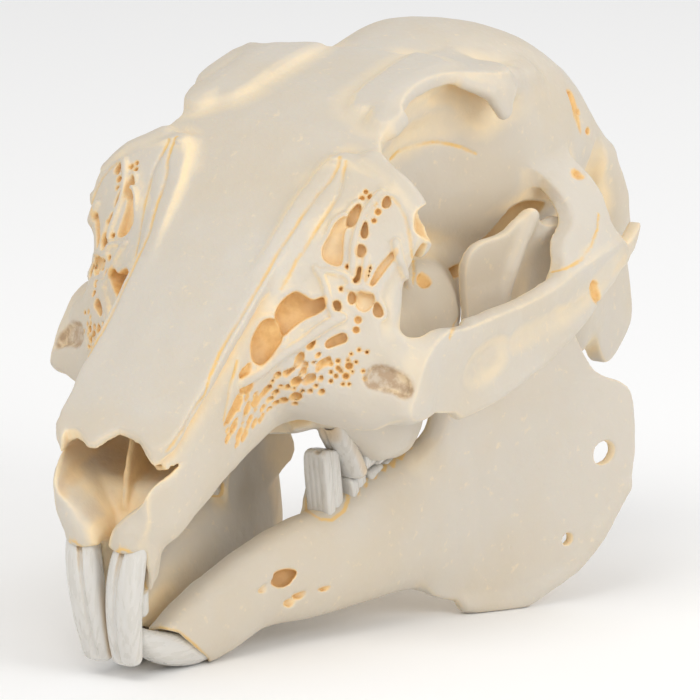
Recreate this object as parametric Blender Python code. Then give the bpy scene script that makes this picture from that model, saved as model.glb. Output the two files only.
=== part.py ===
"""Skull of an adult domestic rabbit: cranium, two dentaries and their teeth.

Every form is written in millimetres in the palate frame: +X is the animal's left,
+Y runs from the muzzle to the nape, +Z is up, and z = 0 is the level of the bony
palate. A parent empty then tips the skull back until the chin and both jaw angles
stand on the table.
"""

import math

import bmesh
import bpy
from mathutils import Matrix, Vector
from mathutils.geometry import delaunay_2d_cdt

MM = 0.001

# Driving dimensions, in millimetres unless said otherwise
TILT = math.radians(13.9)
LIFT = 12.75
ORIGIN_Y = 47.69
SOCKET_GAP = 0.35
ROOT_ROOM = 1.1
SYMPHYSIS_GAP = 0.35
PLATE = 1.4

VOXEL = 0.5
RING_SIDES = 24
LOFT_STEP = 1.5

BONE = (0.78, 0.72, 0.60)
JAW_BONE = (0.74, 0.70, 0.62)
ENAMEL = (0.80, 0.79, 0.76)


def clear_scene():
    for old in list(bpy.data.objects):
        bpy.data.objects.remove(old, do_unlink=True)


def make_material(name, colour, roughness):
    material = bpy.data.materials.new(name)
    material.use_nodes = True
    shader = material.node_tree.nodes["Principled BSDF"]
    shader.inputs["Base Color"].default_value = (*colour, 1.0)
    shader.inputs["Roughness"].default_value = roughness
    shader.inputs["Metallic"].default_value = 0.0
    return material


def follow(stations, values, at):
    """Smooth curve through the values at the stations, read at one place."""
    last = len(stations) - 1
    i = 0
    while i < last - 1 and at > stations[i + 1]:
        i += 1

    def slope(k):
        low = max(k - 1, 0)
        high = min(k + 1, last)
        return (values[high] - values[low]) / (stations[high] - stations[low])

    span = stations[i + 1] - stations[i]
    t = min(max((at - stations[i]) / span, 0.0), 1.0)
    ease = t * t * (3.0 - 2.0 * t)
    start_pull = t * (1.0 - t) ** 2 * span * slope(i)
    end_pull = t * t * (t - 1.0) * span * slope(i + 1)
    return values[i] + (values[i + 1] - values[i]) * ease + start_pull + end_pull


def add_rings(bm, rings):
    """Skin a list of equal rings and close both ends."""
    loops = [[bm.verts.new(point) for point in ring] for ring in rings]
    for near, far in zip(loops, loops[1:]):
        count = len(near)
        for i in range(count):
            j = (i + 1) % count
            bm.faces.new((near[i], near[j], far[j], far[i]))
    bm.faces.new(tuple(reversed(loops[0])))
    bm.faces.new(tuple(loops[-1]))


def add_loft(bm, rows, power=2.4):
    """Rounded-box sections across y: rows of (y, half width, bottom, top, centre x)."""
    stations = [row[0] for row in rows]
    columns = [[(row + (0.0,))[k] for row in rows] for k in range(1, 5)]
    count = max(2, round((stations[-1] - stations[0]) / LOFT_STEP))
    rings = []
    for step in range(count + 1):
        y = stations[0] + (stations[-1] - stations[0]) * step / count
        half, low, high, middle = (follow(stations, column, y) for column in columns)
        ring = []
        for k in range(RING_SIDES):
            angle = 2.0 * math.pi * k / RING_SIDES
            across = math.cos(angle)
            up = math.sin(angle)
            size = (abs(across) ** power + abs(up) ** power) ** (-1.0 / power)
            x = middle + half * size * across
            z = (low + high) / 2.0 + (high - low) / 2.0 * size * up
            ring.append((x, y, z))
        rings.append(ring)
    add_rings(bm, rings)


def add_ball(bm, centre, radii, detail=3):
    place = Matrix.Translation(centre) @ Matrix.Diagonal((*radii, 1.0))
    bmesh.ops.create_icosphere(bm, subdivisions=detail, radius=1.0, matrix=place)


def add_limb(bm, points, radii, flat=None):
    """Round bar through the points; flat = (direction, share) thins it along one way."""
    spread = Matrix.Identity(3)
    squeeze = Matrix.Identity(3)
    if flat is not None:
        way = Vector(flat[0]).normalized()
        spread = Matrix.Scale(1.0 / flat[1], 3, way)
        squeeze = Matrix.Scale(flat[1], 3, way)
    knots = [spread @ Vector(point) for point in points]
    bar = bmesh.new()
    for knot, radius in zip(knots, radii):
        bmesh.ops.create_icosphere(
            bar, subdivisions=2, radius=radius, matrix=Matrix.Translation(knot)
        )
    for start, end, wide, narrow in zip(knots, knots[1:], radii, radii[1:]):
        run = end - start
        turn = run.to_track_quat("Z", "Y").to_matrix().to_4x4()
        place = Matrix.Translation((start + end) / 2.0) @ turn
        bmesh.ops.create_cone(
            bar, cap_ends=True, segments=16, radius1=wide, radius2=narrow,
            depth=run.length, matrix=place,
        )
    bar.transform(squeeze.to_4x4())
    loose = bpy.data.meshes.new("bar")
    bar.to_mesh(loose)
    bar.free()
    bm.from_mesh(loose)
    bpy.data.meshes.remove(loose)


def round_outline(points, steps=4):
    """Closed smooth curve through hand-placed outline points."""
    count = len(points)
    curve = []
    for i in range(count):
        a, b, c, d = (Vector(points[(i + k) % count]) for k in (-1, 0, 1, 2))
        for step in range(steps):
            t = step / steps
            point = 2.0 * b + (c - a) * t + (2.0 * a - 5.0 * b + 4.0 * c - d) * t * t
            point += (3.0 * b - a - 3.0 * c + d) * t ** 3
            curve.append(point / 2.0)
    return curve


def add_sheet(bm, axis, outline, middle, thick, grain=1.6):
    """Curved plate: an outline in two axes, a middle surface along the third."""
    edge = round_outline(outline)
    lows = [min(point[k] for point in edge) for k in (0, 1)]
    highs = [max(point[k] for point in edge) for k in (0, 1)]
    inner = []
    for i in range(int((highs[0] - lows[0]) / grain)):
        for j in range(int((highs[1] - lows[1]) / grain)):
            inner.append(Vector((lows[0] + (i + 0.5) * grain, lows[1] + (j + 0.5) * grain)))
    loop = list(range(len(edge)))
    rim = [(k, (k + 1) % len(edge)) for k in loop]
    flat = delaunay_2d_cdt(edge + inner, rim, [loop], 1, 0.0001)
    corners, triangles = flat[0], flat[2]
    layers = []
    for side in (0.5, -0.5):
        layer = []
        for u, v in corners:
            depth = middle(u, v) + side * thick
            spot = [u, v]
            spot.insert(axis, depth)
            layer.append(bm.verts.new(spot))
        layers.append(layer)
    front, back = layers
    used = {}
    for a, b, c in triangles:
        bm.faces.new((front[a], front[b], front[c]))
        bm.faces.new((back[c], back[b], back[a]))
        for pair in ((a, b), (b, c), (c, a)):
            used[pair] = True
    for a, b in used:
        if (b, a) not in used:
            bm.faces.new((front[b], front[a], back[a], back[b]))
    spare = [vert for vert in front + back if not vert.link_faces]
    bmesh.ops.delete(bm, geom=spare, context="VERTS")


def new_object(name, bm, material=None, side=1, frame=None):
    """Turn millimetres into metres, mirror to the right side if asked, and store."""
    bmesh.ops.recalc_face_normals(bm, faces=bm.faces)
    bmesh.ops.scale(bm, vec=(MM * side, MM, MM), verts=bm.verts)
    if side < 0:
        bmesh.ops.reverse_faces(bm, faces=bm.faces)
    mesh = bpy.data.meshes.new(name)
    bm.to_mesh(mesh)
    bm.free()
    made = bpy.data.objects.new(name, mesh)
    bpy.context.collection.objects.link(made)
    made.parent = frame
    if material is not None:
        mesh.materials.append(material)
        mesh.shade_smooth()
    return made


def new_cutter(name, bm, side=1, frame=None):
    made = new_object(name, bm, side=side, frame=frame)
    made.hide_render = True
    made.display_type = "WIRE"
    return made


def skin(target, share, voxel=VOXEL):
    """Fuse the overlapping forms into one surface and thin out its triangles."""
    fuse = target.modifiers.new("fuse", "REMESH")
    fuse.mode = "VOXEL"
    fuse.voxel_size = voxel * MM
    ease = target.modifiers.new("ease", "SMOOTH")
    ease.factor = 0.5
    ease.iterations = 3
    thin = target.modifiers.new("thin", "DECIMATE")
    thin.ratio = share


def both_sides(target):
    """Repeat the left-hand forms on the right, as bodies of their own."""
    twin = target.modifiers.new("twin", "MIRROR")
    twin.use_mirror_merge = False
    twin.merge_threshold = 0.0001


def cut(target, cutters):
    for cutter in cutters:
        bite = target.modifiers.new("cut_" + cutter.name, "BOOLEAN")
        bite.operation = "DIFFERENCE"
        bite.solver = "EXACT"
        bite.object = cutter


# Cranium

def nasal_level(y):
    return 10.7 + 0.568 * (y - 6.8)


def arch_middle(y, z):
    """Sideways place of the zygomatic arch: bowed out, closing in towards the ear."""
    return 20.6 + 1.2 * math.sin(math.pi * (y - 30.0) / 60.0) + 0.02 * z


def brow_level(x, y):
    """Height of the wing over the eye."""
    return 33.9 - 0.0135 * (y - 55.5) ** 2 - 0.05 * max(x - 10.0, 0.0) ** 1.6


def roof_level(x, y):
    """Height of the plate over the nose and between the fronts of the eye sockets."""
    droop = 0.006 * x * x
    return min(nasal_level(y) - 0.6 - droop, 30.4 + 0.25 * (y - 41.0) - droop)


def cheek_front(x, z):
    """Front-to-back place of the cheek wall, from the muzzle's side out to its rim."""
    levels = (4.0, 8.0, 13.0, 18.0, 24.0, 30.0)
    rim = follow(levels, (30.0, 30.6, 33.2, 35.8, 38.6, 41.6), z)
    root = follow(levels, (31.0, 26.5, 24.5, 27.0, 32.0, 40.0), z)
    share = min(max((x - 8.5) / 12.0, -0.3), 1.1)
    return root + (rim - root) * share


def strap_middle(y, z):
    """Sideways place of the strap of bone from the braincase down to the arch."""
    return 21.4 - 0.075 * max(z - 8.0, 0.0) ** 2


def add_braincase(bm):
    add_loft(bm, [
        (42.0, 9.0, 22.0, 30.0),
        (48.0, 8.6, 19.0, 31.7),
        (54.0, 8.4, 15.0, 33.1),
        (60.0, 9.8, 9.0, 33.9),
        (66.0, 12.6, 6.0, 34.2),
        (72.0, 14.6, 5.0, 33.9),
        (78.0, 15.0, 4.5, 32.2),
        (84.0, 14.2, 4.5, 29.2),
        (88.0, 12.8, 5.0, 26.2),
        (92.0, 10.2, 7.0, 22.2),
        (94.5, 6.4, 10.0, 18.8),
    ], power=2.3)
    add_loft(bm, [
        (40.0, 5.0, 6.0, 26.0),
        (50.0, 4.4, 7.5, 28.0),
        (60.0, 6.5, 6.5, 28.0),
    ])
    add_loft(bm, [
        (56.0, 3.2, 3.5, 9.0),
        (70.0, 4.2, 2.2, 8.0),
        (82.0, 5.4, 2.0, 7.0),
        (93.0, 5.6, 3.0, 8.0),
    ])


def add_rostrum(bm):
    add_loft(bm, [
        (4.4, 5.6, 1.0, 9.0),
        (8.0, 7.0, -1.2, 11.2),
        (12.0, 7.5, -0.2, 13.6),
        (20.0, 7.9, 1.8, 18.0),
        (28.0, 8.8, 3.2, 22.5),
        (33.0, 9.3, 3.2, 25.4),
        (36.0, 9.7, 2.4, 27.0),
        (40.0, 10.2, 5.0, 29.2),
        (46.0, 9.4, 16.0, 31.0),
    ], power=3.2)
    right_edge = [
        (6.4, 7.2), (7.4, 14.0), (8.2, 28.0), (9.2, 34.0), (10.8, 38.0), (12.9, 40.8),
        (13.3, 42.2), (12.2, 44.4), (10.6, 46.6), (6.0, 50.0),
    ]
    left_edge = [(-x, y) for x, y in reversed(right_edge)]
    add_sheet(bm, 2, [(0.0, 6.4)] + right_edge + left_edge, roof_level, 1.5)
    add_limb(bm, [(3.0, 5.4, 2.0), (2.95, 5.2, -0.4), (2.9, 5.8, -3.0)], (2.2, 2.1, 1.7))
    add_limb(bm, [(3.1, 12.4, 5.0), (3.1, 6.4, 3.0)], (1.9, 2.1))


def add_cheek(bm):
    add_sheet(bm, 1, [
        (7.0, 6.0), (10.0, 5.6), (13.0, 5.0), (17.5, 5.2), (20.4, 7.4), (19.8, 11.5),
        (17.8, 15.5), (17.6, 19.5), (20.4, 24.2), (18.4, 26.4), (16.0, 28.2),
        (12.8, 29.6), (9.0, 30.4), (7.0, 26.0), (7.0, 15.0),
    ], cheek_front, 1.9)
    add_limb(bm, [(12.6, 41.6, 29.6), (16.0, 40.4, 28.2), (18.2, 40.0, 26.3), (20.0, 39.4, 24.8)],
             (1.2, 1.1, 1.0, 0.8))
    add_limb(bm, [(18.2, 38.0, 22.6), (17.2, 35.8, 18.6), (17.2, 34.2, 14.5), (18.6, 32.6, 11.0)],
             (1.0, 1.2, 1.4, 1.7))
    add_limb(bm, [(10.0, 38.0, 6.5), (14.0, 36.4, 7.0), (19.2, 33.0, 8.0)], (4.2, 4.0, 3.0),
             flat=((0.25, 1.0, 0.0), 0.75))
    add_limb(bm, [(20.4, 31.4, 7.6), (20.8, 30.4, 7.2)], (1.3, 1.1))
    add_ball(bm, (9.0, 50.0, 8.0), (3.4, 7.0, 5.4))


def add_palate(bm):
    add_loft(bm, [
        (36.2, 2.2, 1.6, 8.0, 7.0),
        (38.6, 3.1, -1.8, 10.0, 7.6),
        (43.0, 3.6, -3.4, 12.0, 8.0),
        (49.0, 3.4, -3.2, 11.0, 7.8),
        (53.5, 2.4, -1.0, 8.5, 7.0),
    ])
    add_limb(bm, [(0.0, 39.0, 1.6), (0.0, 45.0, 1.8)], (7.0, 7.0), flat=((0, 0, 1), 0.22))
    add_sheet(bm, 0, [(50.0, 7.5), (53.0, -0.5), (59.0, -1.0), (65.0, 0.5), (67.5, 3.0),
                      (67.0, 8.0)],
              lambda y, z: 4.8, PLATE)


def add_brow(bm):
    add_sheet(bm, 2, [
        (7.0, 49.5), (9.4, 48.4), (10.4, 46.6), (11.8, 45.8), (12.6, 47.6), (11.9, 50.6),
        (12.8, 55.0), (13.8, 59.6), (15.4, 63.0), (15.8, 65.6), (12.0, 68.0), (7.0, 66.0),
    ], brow_level, 1.5, grain=1.1)
    add_limb(bm, [(14.4, 61.6, 32.0), (15.5, 64.2, 30.2), (16.0, 65.4, 27.4)], (1.2, 1.7, 1.1))
    add_limb(bm, [(14.6, 65.0, 30.2), (13.2, 70.0, 29.0), (12.0, 75.0, 27.6)], (1.6, 1.9, 1.6))


def add_arch(bm):
    add_sheet(bm, 0, [
        (30.4, 7.4), (33.4, 11.6), (37.2, 13.4), (41.0, 12.6), (46.9, 11.6), (59.6, 9.8),
        (68.0, 9.8), (77.2, 8.6), (80.3, 9.9), (79.6, 7.8), (77.4, 6.4), (69.1, 4.6),
        (58.5, 2.5), (53.5, 3.0), (48.6, 1.0), (42.0, 1.2), (35.0, 4.6),
    ], arch_middle, 1.9)
    add_sheet(bm, 0, [
        (62.0, 7.6), (63.4, 10.4), (66.0, 12.6), (69.0, 13.4), (70.8, 15.0), (71.4, 18.0),
        (71.0, 19.6), (77.4, 19.6), (77.6, 18.0), (77.3, 14.7), (75.6, 11.5), (75.0, 7.6),
    ], strap_middle, 2.3)


def add_ear(bm):
    add_ball(bm, (9.6, 82.6, -1.8), (4.6, 6.2, 7.4))
    add_limb(bm, [(10.5, 80.0, 3.0), (13.8, 82.2, 9.4)], (3.4, 2.8))
    add_limb(bm, [(11.4, 84.4, 17.4), (12.2, 87.8, 13.0), (12.4, 89.8, 8.0), (12.2, 91.0, 4.0)],
             (3.0, 3.2, 3.0, 2.6))
    add_sheet(bm, 0, [
        (84.0, 8.0), (90.0, 9.6), (93.2, 4.0), (94.0, -3.0), (93.8, -7.6), (90.8, -10.0),
        (87.0, -10.6), (85.0, -6.0), (83.0, 0.0),
    ], lambda y, z: 12.0, 2.3)


def add_nape(bm):
    add_ball(bm, (4.8, 92.0, 6.4), (2.6, 3.2, 4.4))
    add_loft(bm, [
        (86.0, 8.0, 19.0, 26.4),
        (90.0, 7.6, 16.0, 23.6),
        (93.6, 6.4, 14.0, 20.4),
        (95.2, 4.0, 15.0, 18.6),
    ])


def braincase_room(bm):
    add_loft(bm, [
        (62.0, 6.0, 14.0, 31.0),
        (68.0, 10.6, 9.0, 32.6),
        (74.0, 12.2, 7.8, 31.0),
        (80.0, 11.8, 7.6, 27.8),
        (85.0, 9.0, 7.8, 22.4),
        (89.0, 5.0, 7.8, 16.4),
        (97.0, 5.0, 7.6, 16.0),
    ])


def nasal_room(bm):
    add_loft(bm, [
        (1.0, 3.8, 4.0, 9.6),
        (6.0, 4.7, 5.2, 10.2),
        (12.0, 5.6, 7.2, 11.8),
        (22.0, 6.2, 5.6, 17.2),
        (32.0, 6.6, 6.2, 22.6),
        (38.0, 6.0, 8.0, 24.6),
    ], power=3.0)


def choana_room(bm):
    add_limb(bm, [(0.0, 47.0, 5.6), (0.0, 62.0, 0.5)], (2.9, 3.3))


def meatus_room(bm):
    add_limb(bm, [(12.0, 81.4, 6.6), (17.2, 87.4, 19.0)], (1.5, 1.6))


def palate_slot_room(bm):
    add_limb(bm, [(1.9, 16.0, 0.0), (3.0, 33.0, 1.4)], (1.1, 2.0))


# Dentaries

def jaw_middle(y, z):
    """Sideways place of the ramus plate: flared, and less so above the tooth row."""
    rise = min(max((z + 4.0) / 14.0, 0.0), 1.0)
    return 12.0 + (0.478 - 0.22 * rise) * (y - 50.0)


def add_jaw_body(bm):
    add_loft(bm, [
        (8.6, 1.7, -14.6, -10.4, 2.3),
        (12.0, 2.1, -16.4, -9.2, 2.8),
        (18.0, 2.3, -17.2, -8.0, 3.6),
        (24.0, 2.5, -16.7, -7.2, 4.7),
        (30.0, 2.9, -18.2, -6.9, 5.9),
        (36.0, 3.5, -19.2, -7.2, 7.2),
        (42.0, 3.7, -20.2, -7.0, 8.4),
        (48.0, 3.3, -21.6, -6.0, 9.8),
        (53.0, 2.0, -23.2, -5.0, 11.8),
    ])


def add_ramus(bm):
    add_sheet(bm, 0, [
        (47.5, -21.0), (51.7, -24.6), (54.6, -26.9), (58.5, -27.7), (65.1, -25.6),
        (68.9, -23.2), (72.1, -18.5), (73.5, -13.3), (73.5, -7.6), (72.2, -5.6),
        (69.4, -3.4), (68.6, 1.2), (69.2, 5.0), (71.4, 9.0), (71.2, 11.8),
        (68.0, 13.2), (63.0, 12.8), (57.4, 12.4), (55.8, 8.0), (53.4, 1.0),
        (50.6, -5.0), (47.5, -8.0),
    ], jaw_middle, PLATE)
    add_limb(bm, [(14.6, 64.0, 12.2), (16.1, 70.8, 12.2)], (1.3, 1.5), flat=((0, 0, 1), 0.8))
    add_limb(bm, [(13.2, 52.0, -25.0), (16.0, 58.5, -27.0), (19.2, 65.1, -25.0),
                  (22.4, 72.0, -18.0)], (0.9, 0.8, 0.9, 0.8))
    add_limb(bm, [(11.8, 49.6, -13.0), (12.6, 51.0, -5.0), (11.8, 53.4, 1.0)], (1.2, 1.3, 1.0))


def ramus_window(bm, centre, half_y, half_z):
    place = Matrix.Translation(centre) @ Matrix.Rotation(math.pi / 2.0, 4, "Y")
    place = place @ Matrix.Diagonal((half_z, half_y, 1.0, 1.0))
    bmesh.ops.create_cone(bm, cap_ends=True, segments=16, radius1=1.0, radius2=1.0,
                          depth=6.0, matrix=place)


# Teeth

def add_tooth(bm, rows, grow=0.0):
    """Tooth shaft: rows of (centre, half width, half depth), sections square to z."""
    rings = []
    for (x, y, z), half_x, half_y in rows:
        ring = []
        for k in range(10):
            angle = 2.0 * math.pi * (k + 0.5) / 10
            across = math.cos(angle)
            along = math.sin(angle)
            size = (abs(across) ** 3.0 + abs(along) ** 3.0) ** (-1.0 / 3.0)
            ring.append((
                x + (half_x + grow) * size * across, y + (half_y + grow) * size * along, z,
            ))
        rings.append(ring)
    add_rings(bm, rings)


def add_curved_tooth(bm, path, half_width, half_depth, grow=0.0):
    """Incisor: a rounded square swept along a path in the y-z plane."""
    rings = []
    for i, point in enumerate(path):
        before = Vector(path[max(i - 1, 0)])
        after = Vector(path[min(i + 1, len(path) - 1)])
        run = (after - before).normalized()
        deep = run.cross(Vector((1.0, 0.0, 0.0))).normalized()
        wide = deep.cross(run).normalized()
        ring = []
        for k in range(12):
            angle = 2.0 * math.pi * (k + 0.5) / 12
            across = math.cos(angle)
            along = math.sin(angle)
            size = (abs(across) ** 3.0 + abs(along) ** 3.0) ** (-1.0 / 3.0)
            spot = Vector(point) + wide * (half_width + grow) * size * across
            ring.append(spot + deep * (half_depth + grow) * size * along)
        rings.append(ring)
    if grow > 0.0:
        back = Vector(path[0]) - Vector(path[1])
        rings.insert(0, [spot + back.normalized() * grow for spot in rings[0]])
    add_rings(bm, rings)


UPPER_INCISOR = [
    (3.15, 12.4, 5.4), (3.15, 9.0, 5.2), (3.1, 6.4, 3.2), (3.0, 4.9, 0.4),
    (2.75, 4.3, -3.4), (2.35, 4.2, -7.4), (1.95, 4.4, -10.4), (1.8, 4.1, -12.4),
]
PEG_TOOTH = [(2.6, 8.0, 1.0), (2.4, 7.3, -2.4), (2.1, 6.9, -5.4), (1.9, 6.9, -7.6)]
LOWER_INCISOR = [
    (4.0, 24.0, -13.0), (3.4, 19.0, -14.0), (2.8, 14.4, -13.9), (2.3, 10.6, -12.9),
    (2.0, 8.2, -11.6), (1.85, 7.2, -10.4),
]

# Cheek teeth: name, centre y, half length, centre x, half width, worn level
UPPER_CHEEK = [
    ("p2", 38.3, 0.95, 7.8, 1.7, -2.6),
    ("p3", 40.75, 1.2, 7.9, 2.2, -4.2),
    ("p4", 43.45, 1.2, 8.1, 2.3, -4.7),
    ("m1", 46.15, 1.2, 8.2, 2.3, -4.8),
    ("m2", 48.8, 1.15, 8.1, 2.2, -4.9),
    ("m3", 50.9, 0.65, 7.8, 1.3, -4.6),
]
LOWER_CHEEK = [
    ("p3", 35.7, 1.7, 6.9, 1.7, -0.6),
    ("p4", 39.4, 1.45, 7.4, 1.8, -5.0),
    ("m1", 42.6, 1.45, 7.8, 1.8, -5.5),
    ("m2", 45.7, 1.35, 8.1, 1.7, -5.6),
    ("m3", 48.1, 0.75, 8.4, 1.2, -5.6),
]
UPPER_ROOT_LEVEL = 4.6
LOWER_ROOT_LEVEL = -13.6


def upper_cheek_rows(y, half_y, x, half_x, worn):
    return [
        ((x, y, UPPER_ROOT_LEVEL), half_x * 0.86, half_y * 0.92),
        ((x, y, 0.0), half_x, half_y),
        ((x, y, worn), half_x, half_y),
    ]


def lower_cheek_rows(y, half_y, x, half_x, worn):
    return [
        ((x, y, LOWER_ROOT_LEVEL), half_x * 0.86, half_y * 0.92),
        ((x, y, -8.0), half_x, half_y),
        ((x, y, worn), half_x, half_y),
    ]


def upper_trough(bm):
    add_loft(bm, [
        (37.0, 1.7 + SOCKET_GAP, -9.0, UPPER_ROOT_LEVEL + ROOT_ROOM, 7.8),
        (40.0, 2.25 + SOCKET_GAP, -9.0, UPPER_ROOT_LEVEL + ROOT_ROOM, 7.8),
        (46.0, 2.4 + SOCKET_GAP, -9.0, UPPER_ROOT_LEVEL + ROOT_ROOM, 8.0),
        (52.0, 2.0 + SOCKET_GAP, -9.0, UPPER_ROOT_LEVEL + ROOT_ROOM, 7.8),
    ], power=8.0)


def lower_trough(bm):
    add_loft(bm, [
        (33.8, 1.75 + SOCKET_GAP, LOWER_ROOT_LEVEL - ROOT_ROOM, 2.0, 6.95),
        (40.0, 1.95 + SOCKET_GAP, LOWER_ROOT_LEVEL - ROOT_ROOM, 2.0, 7.55),
        (46.0, 1.9 + SOCKET_GAP, LOWER_ROOT_LEVEL - ROOT_ROOM, 2.0, 8.2),
        (49.3, 1.5 + SOCKET_GAP, LOWER_ROOT_LEVEL - ROOT_ROOM, 2.0, 8.5),
    ], power=8.0)


def make_cranium(frame, bone):
    bm = bmesh.new()
    for add_form in (add_braincase, add_rostrum, add_cheek, add_palate, add_brow,
                     add_arch, add_ear, add_nape):
        add_form(bm)
    cranium = new_object("cranium", bm, bone, frame=frame)
    both_sides(cranium)
    skin(cranium, 0.0085)
    cutters = []
    for room, paired, fused in (
        (braincase_room, False, False),
        (nasal_room, False, False),
        (upper_trough, True, False),
        (choana_room, False, True),
        (meatus_room, True, True),
        (palate_slot_room, True, True),
    ):
        bm = bmesh.new()
        room(bm)
        cutter = new_cutter(room.__name__, bm, frame=frame)
        if paired:
            both_sides(cutter)
        if fused:
            skin(cutter, 0.03)
        cutters.append(cutter)
    for name, path, half_width, half_depth in (
        ("upper_incisor_room", UPPER_INCISOR, 1.55, 1.3),
        ("peg_tooth_room", PEG_TOOTH, 0.8, 0.8),
    ):
        bm = bmesh.new()
        add_curved_tooth(bm, path, half_width, half_depth, SOCKET_GAP)
        cutter = new_cutter(name, bm, frame=frame)
        both_sides(cutter)
        cutters.append(cutter)
    cut(cranium, cutters)


def make_dentary(frame, bone, side, table):
    word = "left" if side > 0 else "right"
    bm = bmesh.new()
    add_jaw_body(bm)
    add_ramus(bm)
    dentary = new_object("mandible_" + word, bm, bone, side, frame)
    skin(dentary, 0.0175)
    cutters = [table]
    bm = bmesh.new()
    lower_trough(bm)
    cutters.append(new_cutter("lower_trough_" + word, bm, side, frame))
    bm = bmesh.new()
    add_curved_tooth(bm, LOWER_INCISOR, 1.35, 1.2, SOCKET_GAP)
    cutters.append(new_cutter("lower_incisor_room_" + word, bm, side, frame))
    for name, centre, half_y, half_z in (
        ("ramus_window_", (21.3, 69.5, -13.1), 1.3, 1.8),
        ("ramus_slit_", (18.9, 64.4, -21.6), 0.6, 1.1),
    ):
        bm = bmesh.new()
        ramus_window(bm, centre, half_y, half_z)
        cutters.append(new_cutter(name + word, bm, side, frame))
    bm = bmesh.new()
    midline = Matrix.Translation((-10.0 + SYMPHYSIS_GAP / 2.0, 40.0, -10.0))
    bmesh.ops.create_cube(bm, size=1.0, matrix=midline @ Matrix.Diagonal((20, 120, 80, 1)))
    cutters.append(new_cutter("midline_" + word, bm, side, frame))
    cut(dentary, cutters)


def make_teeth(frame, enamel, side):
    word = "left" if side > 0 else "right"
    for name, path, half_width, half_depth in (
        ("upper_incisor_", UPPER_INCISOR, 1.55, 1.3),
        ("peg_tooth_", PEG_TOOTH, 0.8, 0.8),
        ("lower_incisor_", LOWER_INCISOR, 1.35, 1.2),
    ):
        bm = bmesh.new()
        add_curved_tooth(bm, path, half_width, half_depth)
        new_object(name + word, bm, enamel, side, frame)
    for row, table, shaft in (
        ("upper_", UPPER_CHEEK, upper_cheek_rows),
        ("lower_", LOWER_CHEEK, lower_cheek_rows),
    ):
        for name, y, half_y, x, half_x, worn in table:
            bm = bmesh.new()
            add_tooth(bm, shaft(y, half_y, x, half_x, worn))
            new_object(row + name + "_" + word, bm, enamel, side, frame)


def main():
    clear_scene()
    bone = make_material("cranium_bone", BONE, 0.6)
    jaw_bone = make_material("jaw_bone", JAW_BONE, 0.6)
    enamel = make_material("enamel", ENAMEL, 0.3)
    frame = bpy.data.objects.new("skull_frame", None)
    bpy.context.collection.objects.link(frame)
    frame.rotation_euler = (TILT, 0.0, 0.0)
    frame.location = (0.0, -ORIGIN_Y * MM, LIFT * MM)
    bm = bmesh.new()
    block = Matrix.Translation((0.0, 0.0, -20.0)) @ Matrix.Diagonal((120, 200, 40, 1))
    bmesh.ops.create_cube(bm, size=1.0, matrix=block)
    table = new_cutter("table_cut", bm)
    make_cranium(frame, bone)
    for side in (1, -1):
        make_dentary(frame, jaw_bone, side, table)
        make_teeth(frame, enamel, side)


main()
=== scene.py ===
# A cleaned rabbit skull: ivory bone, orange sutures, pierced cheek bone, white teeth.
# Forms are written in millimetres in a frame whose zero level is the bony palate:
# +X is the animal's left side, +Y runs to the back of the head and +Z is up.
import math

import bpy
import numpy as np
from mathutils import Matrix, Vector


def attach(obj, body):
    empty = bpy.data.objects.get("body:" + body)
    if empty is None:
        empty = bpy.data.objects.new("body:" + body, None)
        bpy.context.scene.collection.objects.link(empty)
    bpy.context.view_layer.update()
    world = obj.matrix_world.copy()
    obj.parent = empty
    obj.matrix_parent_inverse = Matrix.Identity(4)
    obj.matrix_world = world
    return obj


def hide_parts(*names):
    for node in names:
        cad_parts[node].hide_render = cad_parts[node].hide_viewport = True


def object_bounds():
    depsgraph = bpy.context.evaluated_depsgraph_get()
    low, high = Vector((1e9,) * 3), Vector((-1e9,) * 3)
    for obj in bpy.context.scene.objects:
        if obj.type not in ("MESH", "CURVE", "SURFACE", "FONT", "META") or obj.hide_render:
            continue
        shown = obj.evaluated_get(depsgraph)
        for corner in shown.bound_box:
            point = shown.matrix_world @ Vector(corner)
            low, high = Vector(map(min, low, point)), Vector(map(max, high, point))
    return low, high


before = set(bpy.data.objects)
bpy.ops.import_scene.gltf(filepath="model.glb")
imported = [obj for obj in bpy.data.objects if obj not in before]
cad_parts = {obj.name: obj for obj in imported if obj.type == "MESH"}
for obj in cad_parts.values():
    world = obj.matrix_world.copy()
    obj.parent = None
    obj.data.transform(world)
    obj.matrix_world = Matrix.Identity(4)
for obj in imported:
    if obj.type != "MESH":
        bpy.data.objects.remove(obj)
cad_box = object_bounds()


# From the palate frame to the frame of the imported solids
TILT = math.radians(13.9)
ORIGIN_Y = 47.69
LIFT = 12.75
MM = 0.001

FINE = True
BONE_STEP = 0.21 if FINE else 0.32
TOOTH_STEP = 0.14 if FINE else 0.22
BONE_LIMIT = 194000 if FINE else 120000
TOOTH_LIMIT = 6000
STRAY_SHARE = 0.02
# Reaches for how enclosed a point is, and the share given to inner faces, for the painted shade and
# painted bounce light in the colour.
NEAR_REACH = 0.8
FAR_REACHES = (1.8, 3.5)
INWARD_SHARE = 0.75
BONE_SEAM = 0.18
JAW_SEAM = 0.2
SENSOR = 36.0


# Sculpting kit


def smin(a, b, k):
    """Joins two distances, rounded over k."""
    if k <= 0:
        return np.minimum(a, b)
    h = np.maximum(k - np.abs(a - b), 0.0) / k
    return np.minimum(a, b) - h * h * k * 0.25


def smax(a, b, k):
    """Cuts one distance by another, rounded over k."""
    return -smin(-a, -b, k)


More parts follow.
